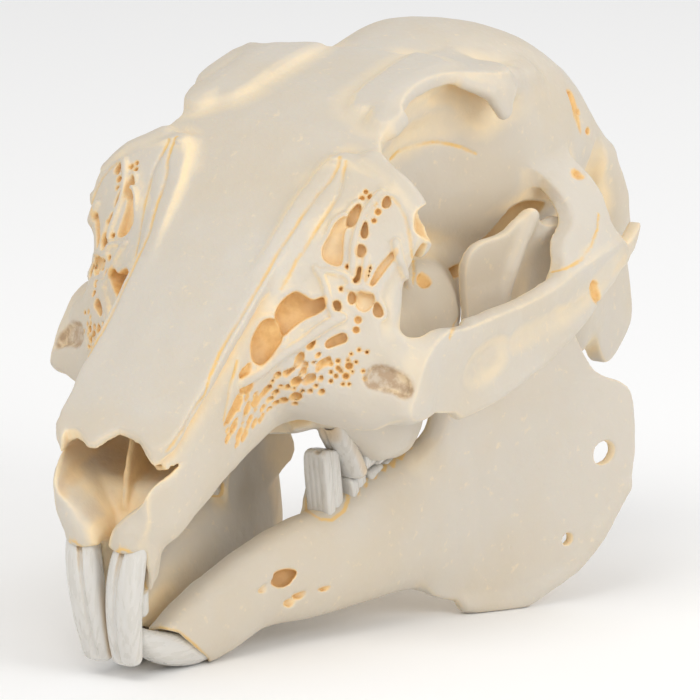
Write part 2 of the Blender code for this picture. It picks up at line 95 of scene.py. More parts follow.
class Field:
    """Distance field on a regular grid, mm."""
    def __init__(self, lo, hi, step):
        self.step = step
        self.lo = np.array(lo, float)
        n = np.ceil((np.array(hi) - self.lo) / step).astype(int) + 1
        self.x = (self.lo[0] + step * np.arange(n[0])).astype(np.float32)
        self.y = (self.lo[1] + step * np.arange(n[1])).astype(np.float32)
        self.z = (self.lo[2] + step * np.arange(n[2])).astype(np.float32)
        self.d = np.full(tuple(n), 50.0, np.float32)

    def window(self, lo, hi, pad):
        """The slices of the grid that a box and a rim around it take up."""
        s = []
        for axis, a, b in zip((self.x, self.y, self.z), lo, hi):
            i = np.searchsorted(axis, a - pad)
            j = np.searchsorted(axis, b + pad)
            s.append(slice(max(i, 0), min(j, len(axis))))
        return tuple(s)

    def apply(self, shape, k, cut=False):
        """Adds a shape to the field or cuts it away, rounded over k."""
        dist, lo, hi = shape
        w = self.window(lo, hi, k + 1.5 + self.step)
        if any(s.stop <= s.start for s in w):
            return
        p = (self.x[w[0]][:, None, None], self.y[w[1]][None, :, None], self.z[w[2]][None, None, :])
        v = dist(*p).astype(np.float32)
        self.d[w] = smax(self.d[w], -v, k) if cut else smin(self.d[w], v, k)

    def add(self, shape, k=1.0):
        self.apply(shape, k)

    def cut(self, shape, k=0.6):
        self.apply(shape, k, True)


def mirrored_field(f):
    """The same field on the animal's right side."""
    g = Field.__new__(Field)
    g.step = f.step
    g.x = -f.x[::-1]
    g.y, g.z = f.y, f.z
    g.lo = np.array([g.x[0], f.lo[1], f.lo[2]])
    g.d = f.d[::-1]
    return g


def ball(c, r):
    """An ellipsoid from its middle and its radii."""
    c = np.array(c, float)
    r = np.array(r, float) * np.ones(3)

    def dist(x, y, z):
        a = (x - c[0]) / r[0]
        b = (y - c[1]) / r[1]
        e = (z - c[2]) / r[2]
        k0 = np.sqrt(a * a + b * b + e * e) + 1e-6
        k1 = np.sqrt((a / r[0]) ** 2 + (b / r[1]) ** 2 + (e / r[2]) ** 2) + 1e-6
        return k0 * (k0 - 1) / k1

    return dist, c - r, c + r


def limb(points, radii, flat=None):
    """Round-cone chain. flat=(direction, factor) thins it by factor along direction."""
    P = np.array(points, float)
    R = np.broadcast_to(np.array(radii, float), (len(P),))
    if flat is not None:
        n = np.array(flat[0], float)
        n /= np.linalg.norm(n)
        g = 1.0 / flat[1] - 1.0
        Q = P + (P @ n)[:, None] * n * g
    else:
        n = None
        Q = P

    def dist(x, y, z):
        if n is not None:
            t = (x * n[0] + y * n[1] + z * n[2]) * g
            x = x + t * n[0]
            y = y + t * n[1]
            z = z + t * n[2]
        best = None
        for a, b, ra, rb in zip(Q[:-1], Q[1:], R[:-1], R[1:]):
            ab = b - a
            L = ab @ ab
            h = np.clip(((x - a[0]) * ab[0] + (y - a[1]) * ab[1] + (z - a[2]) * ab[2]) / L, 0, 1)
            dx = x - a[0] - h * ab[0]
            dy = y - a[1] - h * ab[1]
            dz = z - a[2] - h * ab[2]
            v = np.sqrt(dx * dx + dy * dy + dz * dz) - (ra + (rb - ra) * h)
            best = v if best is None else np.minimum(best, v)
        return best

    m = R.max()
    return dist, P.min(0) - m, P.max(0) + m


def bar(path, wide, deep, power=3.2):
    """A rounded square swept along a path that runs mostly in a y-z plane."""
    P = np.array(path, float)
    W = np.broadcast_to(np.array(wide, float), (len(P),))
    D = np.broadcast_to(np.array(deep, float), (len(P),))

    def dist(x, y, z):
        best = None
        for a, b, wa, wb, da, db in zip(P[:-1], P[1:], W[:-1], W[1:], D[:-1], D[1:]):
            ab = b - a
            L = math.hypot(ab[1], ab[2])
            t = ((y - a[1]) * ab[1] + (z - a[2]) * ab[2]) / (L * L)
            h = np.clip(t, 0, 1)
            u = np.abs(x - a[0] - h * ab[0]) / (wa + (wb - wa) * h)
            ry = y - a[1] - h * ab[1]
            rz = z - a[2] - h * ab[2]
            v = np.sqrt(ry * ry + rz * rz) / (da + (db - da) * h)
            q = (u ** power + v ** power + 1e-9) ** (1 / power)
            e = (q - 1) * min(wa, da)
            best = e if best is None else np.minimum(best, e)
        return best

    m = max(W.max(), D.max())
    return dist, P.min(0) - m, P.max(0) + m


def poly2(u, v, pts):
    """Signed distance to a polygon in the plane (negative inside)."""
    pts = np.array(pts, float)
    n = len(pts)
    d = np.full(np.broadcast(u, v).shape, 1e9)
    s = np.ones_like(d)
    for i in range(n):
        a = pts[i]
        b = pts[i - 1]
        e = b - a
        wu, wv = u - a[0], v - a[1]
        t = np.clip((wu * e[0] + wv * e[1]) / (e @ e), 0, 1)
        d = np.minimum(d, (wu - e[0] * t) ** 2 + (wv - e[1] * t) ** 2)
        c1 = v >= a[1]
        c2 = v < b[1]
        c3 = e[0] * wv > e[1] * wu
        flip = c1 & c2 & c3 | ~c1 & ~c2 & ~c3
        s = np.where(flip, -s, s)
    return s * np.sqrt(d)


AX = {"x": 0, "y": 1, "z": 2}


def smooth_outline(pts, n=4):
    """A smooth closed curve through the points."""
    P = np.array(pts, float)
    out = []
    m = len(P)
    for i in range(m):
        a = P[i - 1]
        b = P[i]
        c = P[(i + 1) % m]
        d = P[(i + 2) % m]
        for t in np.arange(n) / n:
            bend = (2 * a - 5 * b + 4 * c - d) * t * t
            twist = (3 * b - a - 3 * c + d) * t ** 3
            out.append(0.5 * (2 * b + (c - a) * t + bend + twist))
    return np.array(out)


def sheet(normal, outline, mid, thick, smooth=True, k=0.5):
    """A curved plate with an outline across its normal; mid and thick are numbers or functions."""
    i = AX[normal]
    j, l = [a for a in range(3) if a != i]
    pts = smooth_outline(outline) if smooth else np.array(outline, float)
    midf = mid if callable(mid) else lambda u, v: mid + 0 * u + 0 * v
    thf = thick if callable(thick) else lambda u, v: thick

    def dist(x, y, z):
        p = (x, y, z)
        u, v, w = p[j], p[l], p[i]
        d2 = poly2(u, v, pts)
        return smax(d2, np.abs(w - midf(u, v)) - 0.5 * thf(u, v), k)

    lo = np.zeros(3)
    hi = np.zeros(3)
    lo[j], lo[l] = pts.min(0)
    hi[j], hi[l] = pts.max(0)
    m = midf(pts[:, 0], pts[:, 1])
    t = np.max(thf(pts[:, 0], pts[:, 1]))
    lo[i] = np.min(m) - t * 0.5 - 1
    hi[i] = np.max(m) + t * 0.5 + 1
    return dist, lo, hi


def cubic(t, xs, v):
    """A smooth curve through v at xs, read at t."""
    m = np.gradient(v, xs)
    i = np.clip(np.searchsorted(xs, t) - 1, 0, len(xs) - 2)
    h = xs[i + 1] - xs[i]
    s = np.clip((t - xs[i]) / h, 0, 1)
    first = 2 * s ** 3 - 3 * s ** 2 + 1
    leave = s ** 3 - 2 * s ** 2 + s
    second = -2 * s ** 3 + 3 * s ** 2
    arrive = s ** 3 - s ** 2
    return first * v[i] + leave * h * m[i] + second * v[i + 1] + arrive * h * m[i + 1]


def loft(rows, n=2.3, k=1.0):
    """Sections across y, from rows of y, half width, bottom, top and x of the middle."""
    R = np.array([list(r) + [0.0] * (5 - len(r)) for r in rows], float)
    ys = R[:, 0]

    def dist(x, y, z):
        w, zb, zt, cx = (cubic(y, ys, R[:, c]) for c in (1, 2, 3, 4))
        zc, hz = (zb + zt) / 2, (zt - zb) / 2
        a = np.abs(x - cx) / w
        b = np.abs(z - zc) / hz
        q = (a ** n + b ** n + 1e-9) ** (1 / n)
        g = q ** (1 - n) * np.sqrt((a ** (n - 1) / w) ** 2 + (b ** (n - 1) / hz) ** 2) + 0.001
        d = (q - 1) / g
        d = np.maximum(d, -np.minimum(w, hz))
        return smax(d, np.maximum(ys[0] - y, y - ys[-1]) + 0 * d, k)

    w = R[:, 1].max()
    lo = (R[:, 4].min() - w, ys[0], R[:, 2].min())
    hi = (R[:, 4].max() + w, ys[-1], R[:, 3].max())
    return dist, np.array(lo), np.array(hi)


def mirror_full(f):
    """The field of both sides, from that of the left one."""
    g = Field.__new__(Field)
    g.step = f.step
    g.x = np.concatenate([-f.x[::-1], f.x])
    g.y, g.z = f.y, f.z
    g.lo = np.array([g.x[0], f.lo[1], f.lo[2]])
    g.d = np.concatenate([f.d[::-1], f.d], 0)
    return g


def surface_nets(f):
    """Points and quads of the surface where the field is zero."""
    d = f.d
    s = d < 0
    n = d.shape
    code = np.zeros((n[0] - 1, n[1] - 1, n[2] - 1), np.uint8)
    cs = [(i, j, k) for i in (0, 1) for j in (0, 1) for k in (0, 1)]
    cnt = np.zeros(code.shape, np.uint8)
    for i, j, k in cs:
        cnt += s[i:n[0] - 1 + i, j:n[1] - 1 + j, k:n[2] - 1 + k]
    cell = (cnt > 0) & (cnt < 8)
    idx = np.argwhere(cell)
    ids = np.full(cell.shape, -1, np.int64)
    ids[cell] = np.arange(len(idx))
    acc = np.zeros((len(idx), 3))
    num = np.zeros(len(idx))
    vals = {c: d[idx[:, 0] + c[0], idx[:, 1] + c[1], idx[:, 2] + c[2]] for c in cs}
    for c in cs:
        for ax in range(3):
            if c[ax] == 0:
                e = list(c)
                e[ax] = 1
                e = tuple(e)
                a, b = vals[c], vals[e]
                m = (a < 0) != (b < 0)
                t = np.where(m, a / np.where(m, a - b, 1), 0)
                p = np.array(c, float)[None, :].repeat(len(idx), 0)
                p[:, ax] = t
                acc[m] += p[m]
                num[m] += 1
    co = (idx + acc / num[:, None]) * f.step + np.array([f.x[0], f.y[0], f.z[0]])
    quads = []
    for ax in range(3):
        a = [slice(None)] * 3
        b = [slice(None)] * 3
        a[ax] = slice(0, -1)
        b[ax] = slice(1, None)
        cr = s[tuple(a)] != s[tuple(b)]
        # An edge on the rim of the grid has no four cells around it
        o = [x for x in range(3) if x != ax]
        sl = [slice(None)] * 3
        sl[o[0]] = slice(1, -1)
        sl[o[1]] = slice(1, -1)
        e = np.argwhere(cr[tuple(sl)])
        e[:, o[0]] += 1
        e[:, o[1]] += 1
        inside = s[tuple(e.T)]

        def at(du, dv):
            q = e.copy()
            q[:, o[0]] -= du
            q[:, o[1]] -= dv
            return ids[tuple(q.T)]

        q = np.stack([at(1, 1), at(0, 1), at(0, 0), at(1, 0)], 1)
        flip = inside if ax != 1 else ~inside
        q = np.where(flip[:, None], q, q[:, ::-1])
        quads.append(q)
    return co, np.concatenate(quads)


# The photograph as a ruler

EYE = np.array([297.915, -424.063, 228.499])
RIGHT = np.array([0.86286, 0.49885, -0.08134])
DOWN = np.array([0.12193, -0.36161, -0.92432])
AHEAD = np.array([-0.49052, 0.78764, -0.37284])
FOCAL = 5653.59
CENTRE = 350.0


def look_up(field, p):
    """Field values at points, between the grid's corners; outside it, those of its rim."""
    q = (p - np.array([field.x[0], field.y[0], field.z[0]])) / field.step
    top = np.array(field.d.shape) - 2
    i = np.clip(np.floor(q).astype(int), 0, top)
    t = np.clip(q - i, 0, 1)
    total = np.zeros(len(p))
    for a in (0, 1):
        for b in (0, 1):
            for c in (0, 1):
                across = t[:, 0] if a else 1 - t[:, 0]
                along = t[:, 1] if b else 1 - t[:, 1]
                up = t[:, 2] if c else 1 - t[:, 2]
                total += across * along * up * field.d[i[:, 0] + a, i[:, 1] + b, i[:, 2] + c]
    return total


def sight(pixels):
    """Unit-depth directions through pixels of the photograph."""
    uv = (np.asarray(pixels, float) - CENTRE) / FOCAL
    return uv[:, :1] * RIGHT + uv[:, 1:] * DOWN + AHEAD


def depth_of(field, pixels, near=505.0, far=690.0, step=0.2):
    """Depth at which each pixel first meets the surface."""
    rays = sight(pixels)
    ts = np.arange(near, far, step)
    p = EYE + rays[:, None, :] * ts[None, :, None]
    q = p.reshape(-1, 3).copy()
    q[:, 0] = np.abs(q[:, 0])
    lo = np.array([0, field.y[0], field.z[0]])
    hi = np.array([field.x[-1], field.y[-1], field.z[-1]])
    inside = np.all((q > lo) & (q < hi), axis=1)
    d = np.full(len(q), 9.0)
    d[inside] = look_up(field, q[inside])
    d = d.reshape(len(rays), -1)
    hit = d < 0
    k = np.where(hit.any(1), hit.argmax(1), -1)
    out = np.full(len(rays), np.nan)
    for i, j in enumerate(k):
        if j > 0:
            a, b = d[i, j - 1], d[i, j]
            out[i] = ts[j - 1] + step * a / (a - b)
    return out


def on_surface(field, pixels):
    """Where the sight lines through the pixels meet the surface."""
    t = depth_of(field, pixels)
    ok = ~np.isnan(t)
    return EYE + sight(np.asarray(pixels, float)[ok]) * t[ok][:, None]


def dense(pixels, gap=2.5):
    """Pixels along a line, no further apart than a gap."""
    out = []
    for a, b in zip(pixels[:-1], pixels[1:]):
        n = max(1, int(math.dist(a, b) / gap))
        out += [(a[0] + (b[0] - a[0]) * k / n, a[1] + (b[1] - a[1]) * k / n) for k in range(n)]
    return out + [pixels[-1]]


def prism(field, outline, depth, lift=1.0, at=None, smooth=True):
    """What lies behind an outline in the photograph, from just above the surface to a depth."""
    pts = smooth_outline(outline) if smooth else np.array(outline, float)
    spot = [at] if at else [tuple(np.mean(pts, axis=0))]
    t0 = depth_of(field, spot)[0]
    lo_t, hi_t = t0 - lift, t0 + depth
    corners = np.concatenate([EYE + sight(pts) * lo_t, EYE + sight(pts) * hi_t])

    def dist(x, y, z):
        dx, dy, dz = x - EYE[0], y - EYE[1], z - EYE[2]
        t = dx * AHEAD[0] + dy * AHEAD[1] + dz * AHEAD[2]
        u = CENTRE + FOCAL * (dx * RIGHT[0] + dy * RIGHT[1] + dz * RIGHT[2]) / t
        v = CENTRE + FOCAL * (dx * DOWN[0] + dy * DOWN[1] + dz * DOWN[2]) / t
        d2 = poly2(u, v, pts) * (t0 / FOCAL)
        return np.maximum(d2, np.maximum(lo_t - t, t - hi_t))

    return dist, corners.min(0), corners.max(0)


def oval(u, v, half_u, half_v, n=10):
    """Pixels around an oval."""
    out = []
    for k in range(n):
        a = 2 * math.pi * k / n
        out.append((u + half_u * math.cos(a), v + half_v * math.sin(a)))
    return out


def trace(field, points, radius, add=False, k=0.15):
    """A groove or a raised cord along 3-D points."""
    r = np.broadcast_to(radius, (len(points),))
    for a, b, ra, rb in zip(points[:-1], points[1:], r[:-1], r[1:]):
        if np.linalg.norm(np.subtract(a, b)) > 3.0:
            continue
        shape = limb([a, b], (ra, rb))
        if add:
            field.add(shape, k)
        else:
            field.cut(shape, k)


# Forms


def smooth_curve(at, where, values):
    """A soft curve through values at given places."""
    return cubic(at, np.array(where, float), np.array(values, float))


def nasal_level(y):
    """Height of the nasal bones along y."""
    return 10.7 + 0.568 * (y - 6.8)


def plate_level(x, y):
    """Middle height of the roof plate."""
    flat = nasal_level(y) - 0.6 - 0.006 * x * x
    rear = np.minimum(30.4 + 0.25 * (y - 41.0), 32.6)
    return np.minimum(flat, rear - 0.006 * x * x)


def arch_middle(y, z):
    """Sideways place of the cheek arch."""
    return 20.6 + 1.2 * np.sin(math.pi * (y - 30.0) / 60.0) + 0.02 * z


def brow_level(x, y):
    """Middle height of the brow wing."""
    return 33.0 - 0.0135 * (y - 55.5) ** 2 - 0.05 * np.maximum(x - 10.0, 0.0) ** 1.6


def jaw_middle(y, z):
    """Sideways place of the jaw angle's plate."""
    rise = np.clip((z + 4.0) / 14.0, 0, 1)
    return 12.0 + (0.478 - 0.22 * rise) * (y - 50.0)


def strap_middle(y, z):
    """Sideways place of the strap from the arch to the braincase."""
    return 21.4 - 0.075 * np.maximum(z - 8.0, 0.0) ** 2


def strap_thick(y, z):
    """Thickness of that strap."""
    return 1.7 * np.sqrt(1.0 + (0.15 * np.maximum(z - 8.0, 0.0)) ** 2)


def cheek_front(x, z):
    """Y of the pierced cheek wall: from the muzzle's side out to the rim."""
    rim = smooth_curve(z, [4, 8, 13, 18, 24, 30], [30.0, 30.6, 33.2, 35.8, 38.6, 41.6])
    root = smooth_curve(z, [4, 8, 13, 18, 24, 30], [31.0, 26.5, 24.5, 27.0, 32.0, 40.0])
    t = np.clip((x - 8.5) / 12.0, -0.3, 1.1)
    return root + (rim - root) * t


def cranium(step):
    """The left half of the cranium, before its rooms and details."""
    f = Field((step / 2, 0, -14), (27, 100, 40), step)
    # Braincase, its floor and the base of the skull
    f.add(loft([
        (42, 9.0, 22, 30.0), (48, 8.6, 19, 31.7), (54, 8.4, 15, 32.3), (60, 9.8, 9, 33.0),
        (66, 12.6, 6, 33.4), (72, 14.6, 5, 33.2), (78, 15, 4.5, 31.9), (84, 14.2, 4.5, 29.2),
        (88, 12.8, 5, 26.2), (92, 10.2, 7, 22.2), (94.5, 6.4, 10, 18.8)
    ], n=2.3), 1)
    f.add(loft([(40, 5, 6, 26), (50, 4.4, 7.5, 28), (60, 6.5, 6.5, 28)], n=2.4), 1.5)
    f.add(loft([(56, 3.2, 3.5, 9), (70, 4.2, 2.2, 8), (82, 5.4, 2, 7), (93, 5.6, 3, 8)], n=2.4), 1.5)
    # Muzzle, roof plate and the bone around the front teeth
    f.add(loft([
        (4.4, 5.6, 1.0, 9.0), (8, 7, -1.2, 11.2), (12, 7.5, -0.2, 13.6), (20, 7.9, 1.8, 18),
        (28, 8.8, 3.2, 22.5), (33, 9.3, 3.2, 25.4), (36, 9.7, 2.4, 27), (40, 10.2, 5, 29.2),
        (46, 9.4, 16, 31)
    ], n=3.2), 1)
    f.add(sheet("z", [
        (-6.4, 7.2), (0, 6.4), (6.4, 7.2), (7.4, 14), (8.2, 28), (9.2, 34), (10.8, 38), (12.9, 40.8),
        (13.3, 42.2), (12.2, 44.4), (10.4, 46.8), (9.0, 52), (8.8, 57), (8.0, 62.5), (-8.0, 62.5),
        (-8.8, 57), (-9.0, 52), (-10.4, 46.8), (-12.2, 44.4), (-13.3, 42.2), (-12.9, 40.8), (-10.8, 38),
        (-9.2, 34), (-8.2, 28), (-7.4, 14)
    ], plate_level, 1.5), 0.8)
    f.add(limb([(3.4, 8.4, 3.4), (2.75, 5.75, 1.9), (2.65, 5.5, 0.9)], (2.6, 2.35, 2.2)), 1.2)
    f.add(limb([(2.8, 7.2, 0.6), (2.6, 6.8, -3.0), (2.3, 6.6, -4.6)], (2.2, 1.75, 1.1)), 1.0)
    f.add(limb([(4.0, 6.4, 1.2), (4.1, 5.6, -1.6), (3.8, 5.8, -4.2)], (1.5, 1.0, 0.5)), 0.8)
    f.add(limb([(0.2, 4.6, 1.2), (0.1, 3.9, -4.0), (0.1, 3.8, -8.6)], (0.9, 0.5, 0.22)), 0.8)
    # Pierced cheek and the bone behind it
    f.add(sheet("y", [
        (7, 6), (10, 5.6), (13, 5), (17.5, 5.2), (20.4, 7.4), (19.8, 11.5), (17.8, 15.5), (17.6, 19.5),
        (20.4, 24.2), (18.4, 26.4), (16.0, 28.2), (12.8, 29.6), (9, 30.4), (7, 26), (7, 15)
    ], cheek_front, 1.8), 1.5)
    f.add(limb([
        (12.6, 41.6, 29.6), (16, 40.4, 28.2), (18.2, 40, 26.3), (20.3, 39.3, 24.5)
    ], (1.1, 1.0, 1.0, 0.7)), 1)
    f.add(sheet(
        "y", [(16.2, 28.0), (18.4, 26.4), (20.6, 24.3), (18.8, 20.5), (16.4, 22)],
        lambda x, z: 39.6 + 0.2 * (20 - x), 1.5
    ), 1)
    f.add(limb([
        (18.2, 38, 22.6), (17.2, 35.8, 18.6), (17.2, 34.2, 14.5), (18.6, 32.6, 11)
    ], (0.9, 1.1, 1.3, 1.6)), 1)
    f.add(limb([
        (10, 38, 6.5), (14, 36.4, 7), (19.2, 33, 8)
    ], (4.2, 4.0, 3.0), flat=((0.25, 1, 0), 0.75)), 2)
    f.add(limb([(20.4, 31.4, 7.6), (20.8, 30.4, 7.2)], (1.2, 0.9)), 1)
    f.add(ball((8.8, 52.6, 7.6), (4.6, 7.6, 6.2)), 1.5)
    f.add(loft([
        (47, 6, 2, 14), (54, 9.6, 1.2, 15), (60, 10.0, 2.0, 15), (66, 9.4, 3, 14), (72, 8, 3, 10)
    ], n=2.4), 1.5)
    f.add(limb([(18.9, 33.0, 12.4), (20.2, 35.6, 11.6), (20.9, 38.6, 11.2)], (1.3, 1.2, 0.9)), 1.5)
    # Tooth row and palate
    f.add(loft([
        (35.6, 1.8, 1.8, 8, 7.4), (37.6, 3.4, -0.4, 9, 8.0), (39.8, 4.2, -3.2, 10, 8.6),
        (43, 4.5, -4.7, 12, 8.8), (47.2, 4.0, -5.0, 11, 8.7), (50.6, 3.0, -3.4, 8.5, 8.3),
        (54, 1.8, -0.6, 8, 7.4)
    ], n=3.2), 1.8)
    f.add(limb([(0, 39, 1.6), (0, 45, 1.8)], (7, 7), flat=((0, 0, 1), 0.22)), 1)
    f.add(sheet("x", [(50, 7.5), (53, -0.5), (59, -1), (65, 0.5), (67.5, 3), (67, 8)], 4.8, 1.2), 1)
    # Roof between the brows, and the brow wing
    f.add(loft([
        (46, 8.6, 25, 30.4), (50, 8.9, 26, 31.3), (54, 9.3, 27, 32.0), (60, 9.6, 27, 31.9),
        (66, 10, 26, 30.6), (70, 9, 25, 29.5)
    ], n=3.2), 2)
    f.add(sheet("z", [
        (7, 49.5), (9.4, 48.4), (10.6, 46.7), (11.9, 46.1), (12.6, 47.5), (11.6, 50.4), (11.1, 53.6),
        (11.6, 57.4), (12.9, 60.4), (14.6, 62.6), (15.6, 65.6), (12, 68), (7, 66)
    ], brow_level, 1.3), 2.5)
    f.add(limb([(10.6, 46.7, 31.7), (12.0, 47.0, 31.3), (12.3, 48.6, 31.6)], (0.5, 0.6, 0.5)), 1.6)
    f.add(limb([(13.2, 60.4, 31.8), (14.9, 62.8, 30.0), (15.4, 64.2, 27.2)], (0.6, 0.8, 0.45)), 1.2)
    f.add(limb([(13.4, 65.4, 30.4), (15.0, 65.2, 29.0), (15.2, 65.0, 27.6)], (1.0, 0.9, 0.6)), 1.5)
    f.add(limb([(13.8, 66, 29.4), (13.0, 70, 28.6), (12, 75, 26.8)], (1.1, 1.4, 1.2)), 3)
    # Cheek arch
    f.add(sheet("x", [
        (30.4, 7.4), (33.4, 11.6), (37.2, 13.4), (41, 12.6), (46.9, 11.6), (59.6, 9.8), (68, 9.8),
        (77.2, 8.6), (80.8, 9.7), (79.2, 7.6), (77.4, 6.8), (70, 5.2), (63, 3.2), (58, 2.6), (53.5, 2.8),
        (48.6, 2.4), (42, 3.0), (35, 5.4)
    ], arch_middle, 1.7), 2.0)
    f.add(limb([(20.9, 44, 11.2), (21.6, 54, 9.8), (21.8, 64, 9.5), (21.3, 75, 9.0)], 0.9), 1.0)
    f.add(limb([
        (21.4, 40, 3.6), (21.8, 47, 3.2), (22.0, 56, 3.2), (22.0, 66, 4.6), (21.6, 76, 7.2)
    ], 0.85), 1.0)
    f.cut(ball((23.1, 45.0, 7.2), (1.7, 5.2, 2.3)), 0.8)
    f.cut(limb([(23.4, 51, 7.2), (23.7, 59, 6.6), (23.5, 68, 7.0), (23.0, 75, 7.9)], 1.25), 1.0)
    f.add(sheet("x", [
        (62, 7.6), (63.4, 10.4), (66, 12.6), (69, 13.4), (70.8, 15), (71.4, 18), (71, 22), (77.4, 22),
        (77.6, 18), (77.3, 14.7), (75.6, 11.5), (75, 7.6)
    ], strap_middle, strap_thick), 1.5)
    # Ear capsule and the spur behind it
    f.add(ball((9.6, 82.6, -1.8), (4.6, 6.2, 7.4)), 1)
    f.add(limb([(10.5, 80, 3), (13.8, 82.2, 9.4)], (3.4, 2.8)), 1.5)
    f.add(limb([
        (11.4, 84.4, 17.4), (12.2, 87.8, 13), (12.4, 89.8, 8), (12.2, 91, 4)
    ], (3.0, 3.2, 3.0, 2.6)), 2)
    f.add(sheet("x", [
        (84, 8), (90, 9.6), (93.2, 4), (94.0, -3), (93.8, -7.6), (90.8, -10), (87, -10.6), (85, -6),
        (83, 0)
    ], 12.0, 2.2), 1.5)
    # Joint with the neck
    f.add(ball((4.8, 92.0, 6.4), (2.6, 3.2, 4.4)), 1)
    f.add(loft([
        (86, 8, 19, 26.4), (90, 7.6, 16, 23.6), (93.6, 6.4, 14, 20.4), (95.2, 4, 15, 18.6)
    ], n=2.4), 1.5)
    return f


# Nasal hollows, each with the strength of the painted amber glow on its inner walls.
ROOMS = []


def cranium_rooms(f):
    """Hollows: braincase, nose, throat, ear canal and palate slit."""
    nose = loft([
        (1, 4.6, 3.4, 9.0), (6, 5.4, 4.4, 9.4), (8, 5.9, 4.6, 10.6), (12, 6.2, 4.9, 12.9),
        (17, 6.4, 6.0, 15.2)
    ], n=2.8, k=2.5)
    ROOMS.append((nose, 0.6))
    f.cut(loft([
        (62, 6, 14, 31.0), (68, 10.6, 9, 32.6), (74, 12.2, 7.8, 31), (80, 11.8, 7.6, 27.8),
        (85, 9, 7.8, 22.4), (89, 4.8, 8.2, 15.6), (97, 4.8, 8, 15.2)
    ]), 0.6)
    f.cut(nose, 0.4)
    trough = sheet(
        "y",
        [
            (-5.8, 8.4), (-5.1, 6.8), (-3.1, 4.2), (-1.1, 2.2), (-0.4, 0.6), (0, -1.4), (0.4, 0.6),
            (1.1, 2.2), (3.1, 4.2), (5.1, 6.8), (5.8, 8.4)
        ],
        3.0, lambda x, z: 5.0 + 1.35 * np.clip(z + 2.5, 0, 10.5)
    )
    ROOMS.append((trough, 0.42))
    f.cut(trough, 1.2)
    f.add(sheet("x", [
        (8.6, 2.6), (10.4, 4.2), (17.5, 5.2), (17.5, 15.6), (13.6, 12.4), (11.0, 9.2), (9.6, 6.4)
    ], 0.0, 0.7), 0.6)
    f.cut(limb([(0, 47, 5.6), (0, 62, 0.5)], (2.9, 3.3)), 0.6)
    f.cut(limb([(12, 81.4, 6.6), (17.2, 87.4, 19)], (1.5, 1.6)), 0.6)
    f.cut(limb([(1.9, 16, 0), (3.0, 33, 1.4)], (1.1, 2.0)), 0.5)
    f.cut(sheet("z", [
        (0.35, 4.9), (0.55, 3.2), (2.6, 1.8), (4.7, 3.2), (4.5, 5.0), (3.6, 5.8), (1.4, 5.8)
    ], -4.2, 8.6), 0.4)


def dentary(step):
    """The left lower jaw."""
    f = Field((0.18, 3, -31), (27, 78, 17), step)
    f.add(loft([
        (8.6, 1.7, -14.6, -10.4, 2.3), (12, 2.1, -16.4, -9.2, 2.8), (18, 2.3, -17.2, -8, 3.6),
        (24, 2.5, -16.7, -7.2, 4.7), (30, 2.9, -18.2, -6.9, 5.9), (36, 3.5, -19.2, -7.3, 7.2),
        (39.5, 3.7, -19.8, -6.3, 7.9), (42, 3.7, -20.2, -6.1, 8.4), (48, 3.3, -21.6, -5.6, 9.8),
        (53, 2, -23.2, -5, 11.8)
    ], n=2.4), 1)
    f.add(sheet("x", [
        (47.5, -21), (51.7, -24.6), (54.6, -26.9), (58.5, -27.7), (65.1, -25.6), (68.9, -23.2),
        (72.1, -18.5), (73.5, -13.3), (73.5, -7.6), (72.2, -5.6), (69.4, -3.4), (68.6, 1.2), (69.2, 5),
        (71.4, 9), (71.2, 11.8), (68.4, 13.2), (66.6, 15.4), (64.6, 15.2), (62.4, 14.4), (58.2, 14.5),
        (56.3, 12.8), (55.8, 9), (55.2, 5), (53.4, 1), (50.6, -5), (47.5, -8)
    ], jaw_middle, 1.2), 1.5)
    f.add(limb([(16.2, 68.2, 12.2), (16.6, 70.8, 12.0)], (1.1, 1.3)), 1)
    f.add(limb([(16.7, 66.4, 15.0), (15.9, 62.8, 10.0), (15.2, 60.2, 5.4)], (0.75, 0.8, 0.6)), 0.8)
    f.cut(limb([(17.9, 65.6, 11.4), (17.2, 63.4, 8.4), (16.6, 62.0, 5.6)], (0.9, 0.9, 0.7)), 1.2)
    f.add(limb([
        (13.2, 52, -25), (16, 58.5, -27), (19.2, 65.1, -25), (22.4, 72, -18)
    ], (0.8, 0.7, 0.7, 0.6)), 1.2)
    f.add(limb([(11.4, 49.4, -13), (12.2, 51, -5), (12.4, 53.6, 1)], (1.0, 1.1, 0.8)), 2.5)
    f.add(sheet(
        "x", [(35.5, -9), (36.4, -4.2), (40, -3.6), (46, -4.6), (50, -6), (50, -10)],
        lambda y, z: 5.2 + 0.09 * (y - 36), 1.2
    ), 1.0)
    f.cut(limb([(18, 69.5, -13.1), (25, 69.5, -13.1)], 1.3), 0.3)
    f.cut(limb([(16, 64.4, -21.6), (22, 64.4, -21.6)], 0.65), 0.3)
    return f


UPPER_INCISOR = [
    (4.1, 11.4, 2.6), (3.9, 8.8, 2.0), (3.4, 6.4, 1.4), (2.85, 4.9, -0.4), (2.5, 4.2, -2.4),
    (2.2, 3.85, -4.8), (1.98, 3.7, -7.4), (1.82, 3.8, -9.8), (1.74, 3.9, -11.5)
]
INCISOR_WIDE = (1.1, 1.2, 1.5, 1.8, 1.9, 1.92, 1.86, 1.76, 1.64)
INCISOR_DEEP = (1.0, 1.1, 1.25, 1.35, 1.4, 1.38, 1.3, 1.2, 1.0)
PEG_TOOTH = [(2.6, 8, 1), (2.4, 7.3, -2.4), (2.1, 6.9, -5.4), (1.9, 6.9, -7.6)]
LOWER_INCISOR = [
    (4, 24, -13.4), (3.4, 19, -14.9), (2.9, 14.8, -14.9), (2.55, 11.8, -14.0), (2.3, 9.4, -12.9),
    (2.05, 7.4, -11.6), (1.95, 6.2, -10.4)
]
CHEEK_TEETH = ("p2", "p3", "p4", "m1", "m2", "m3")
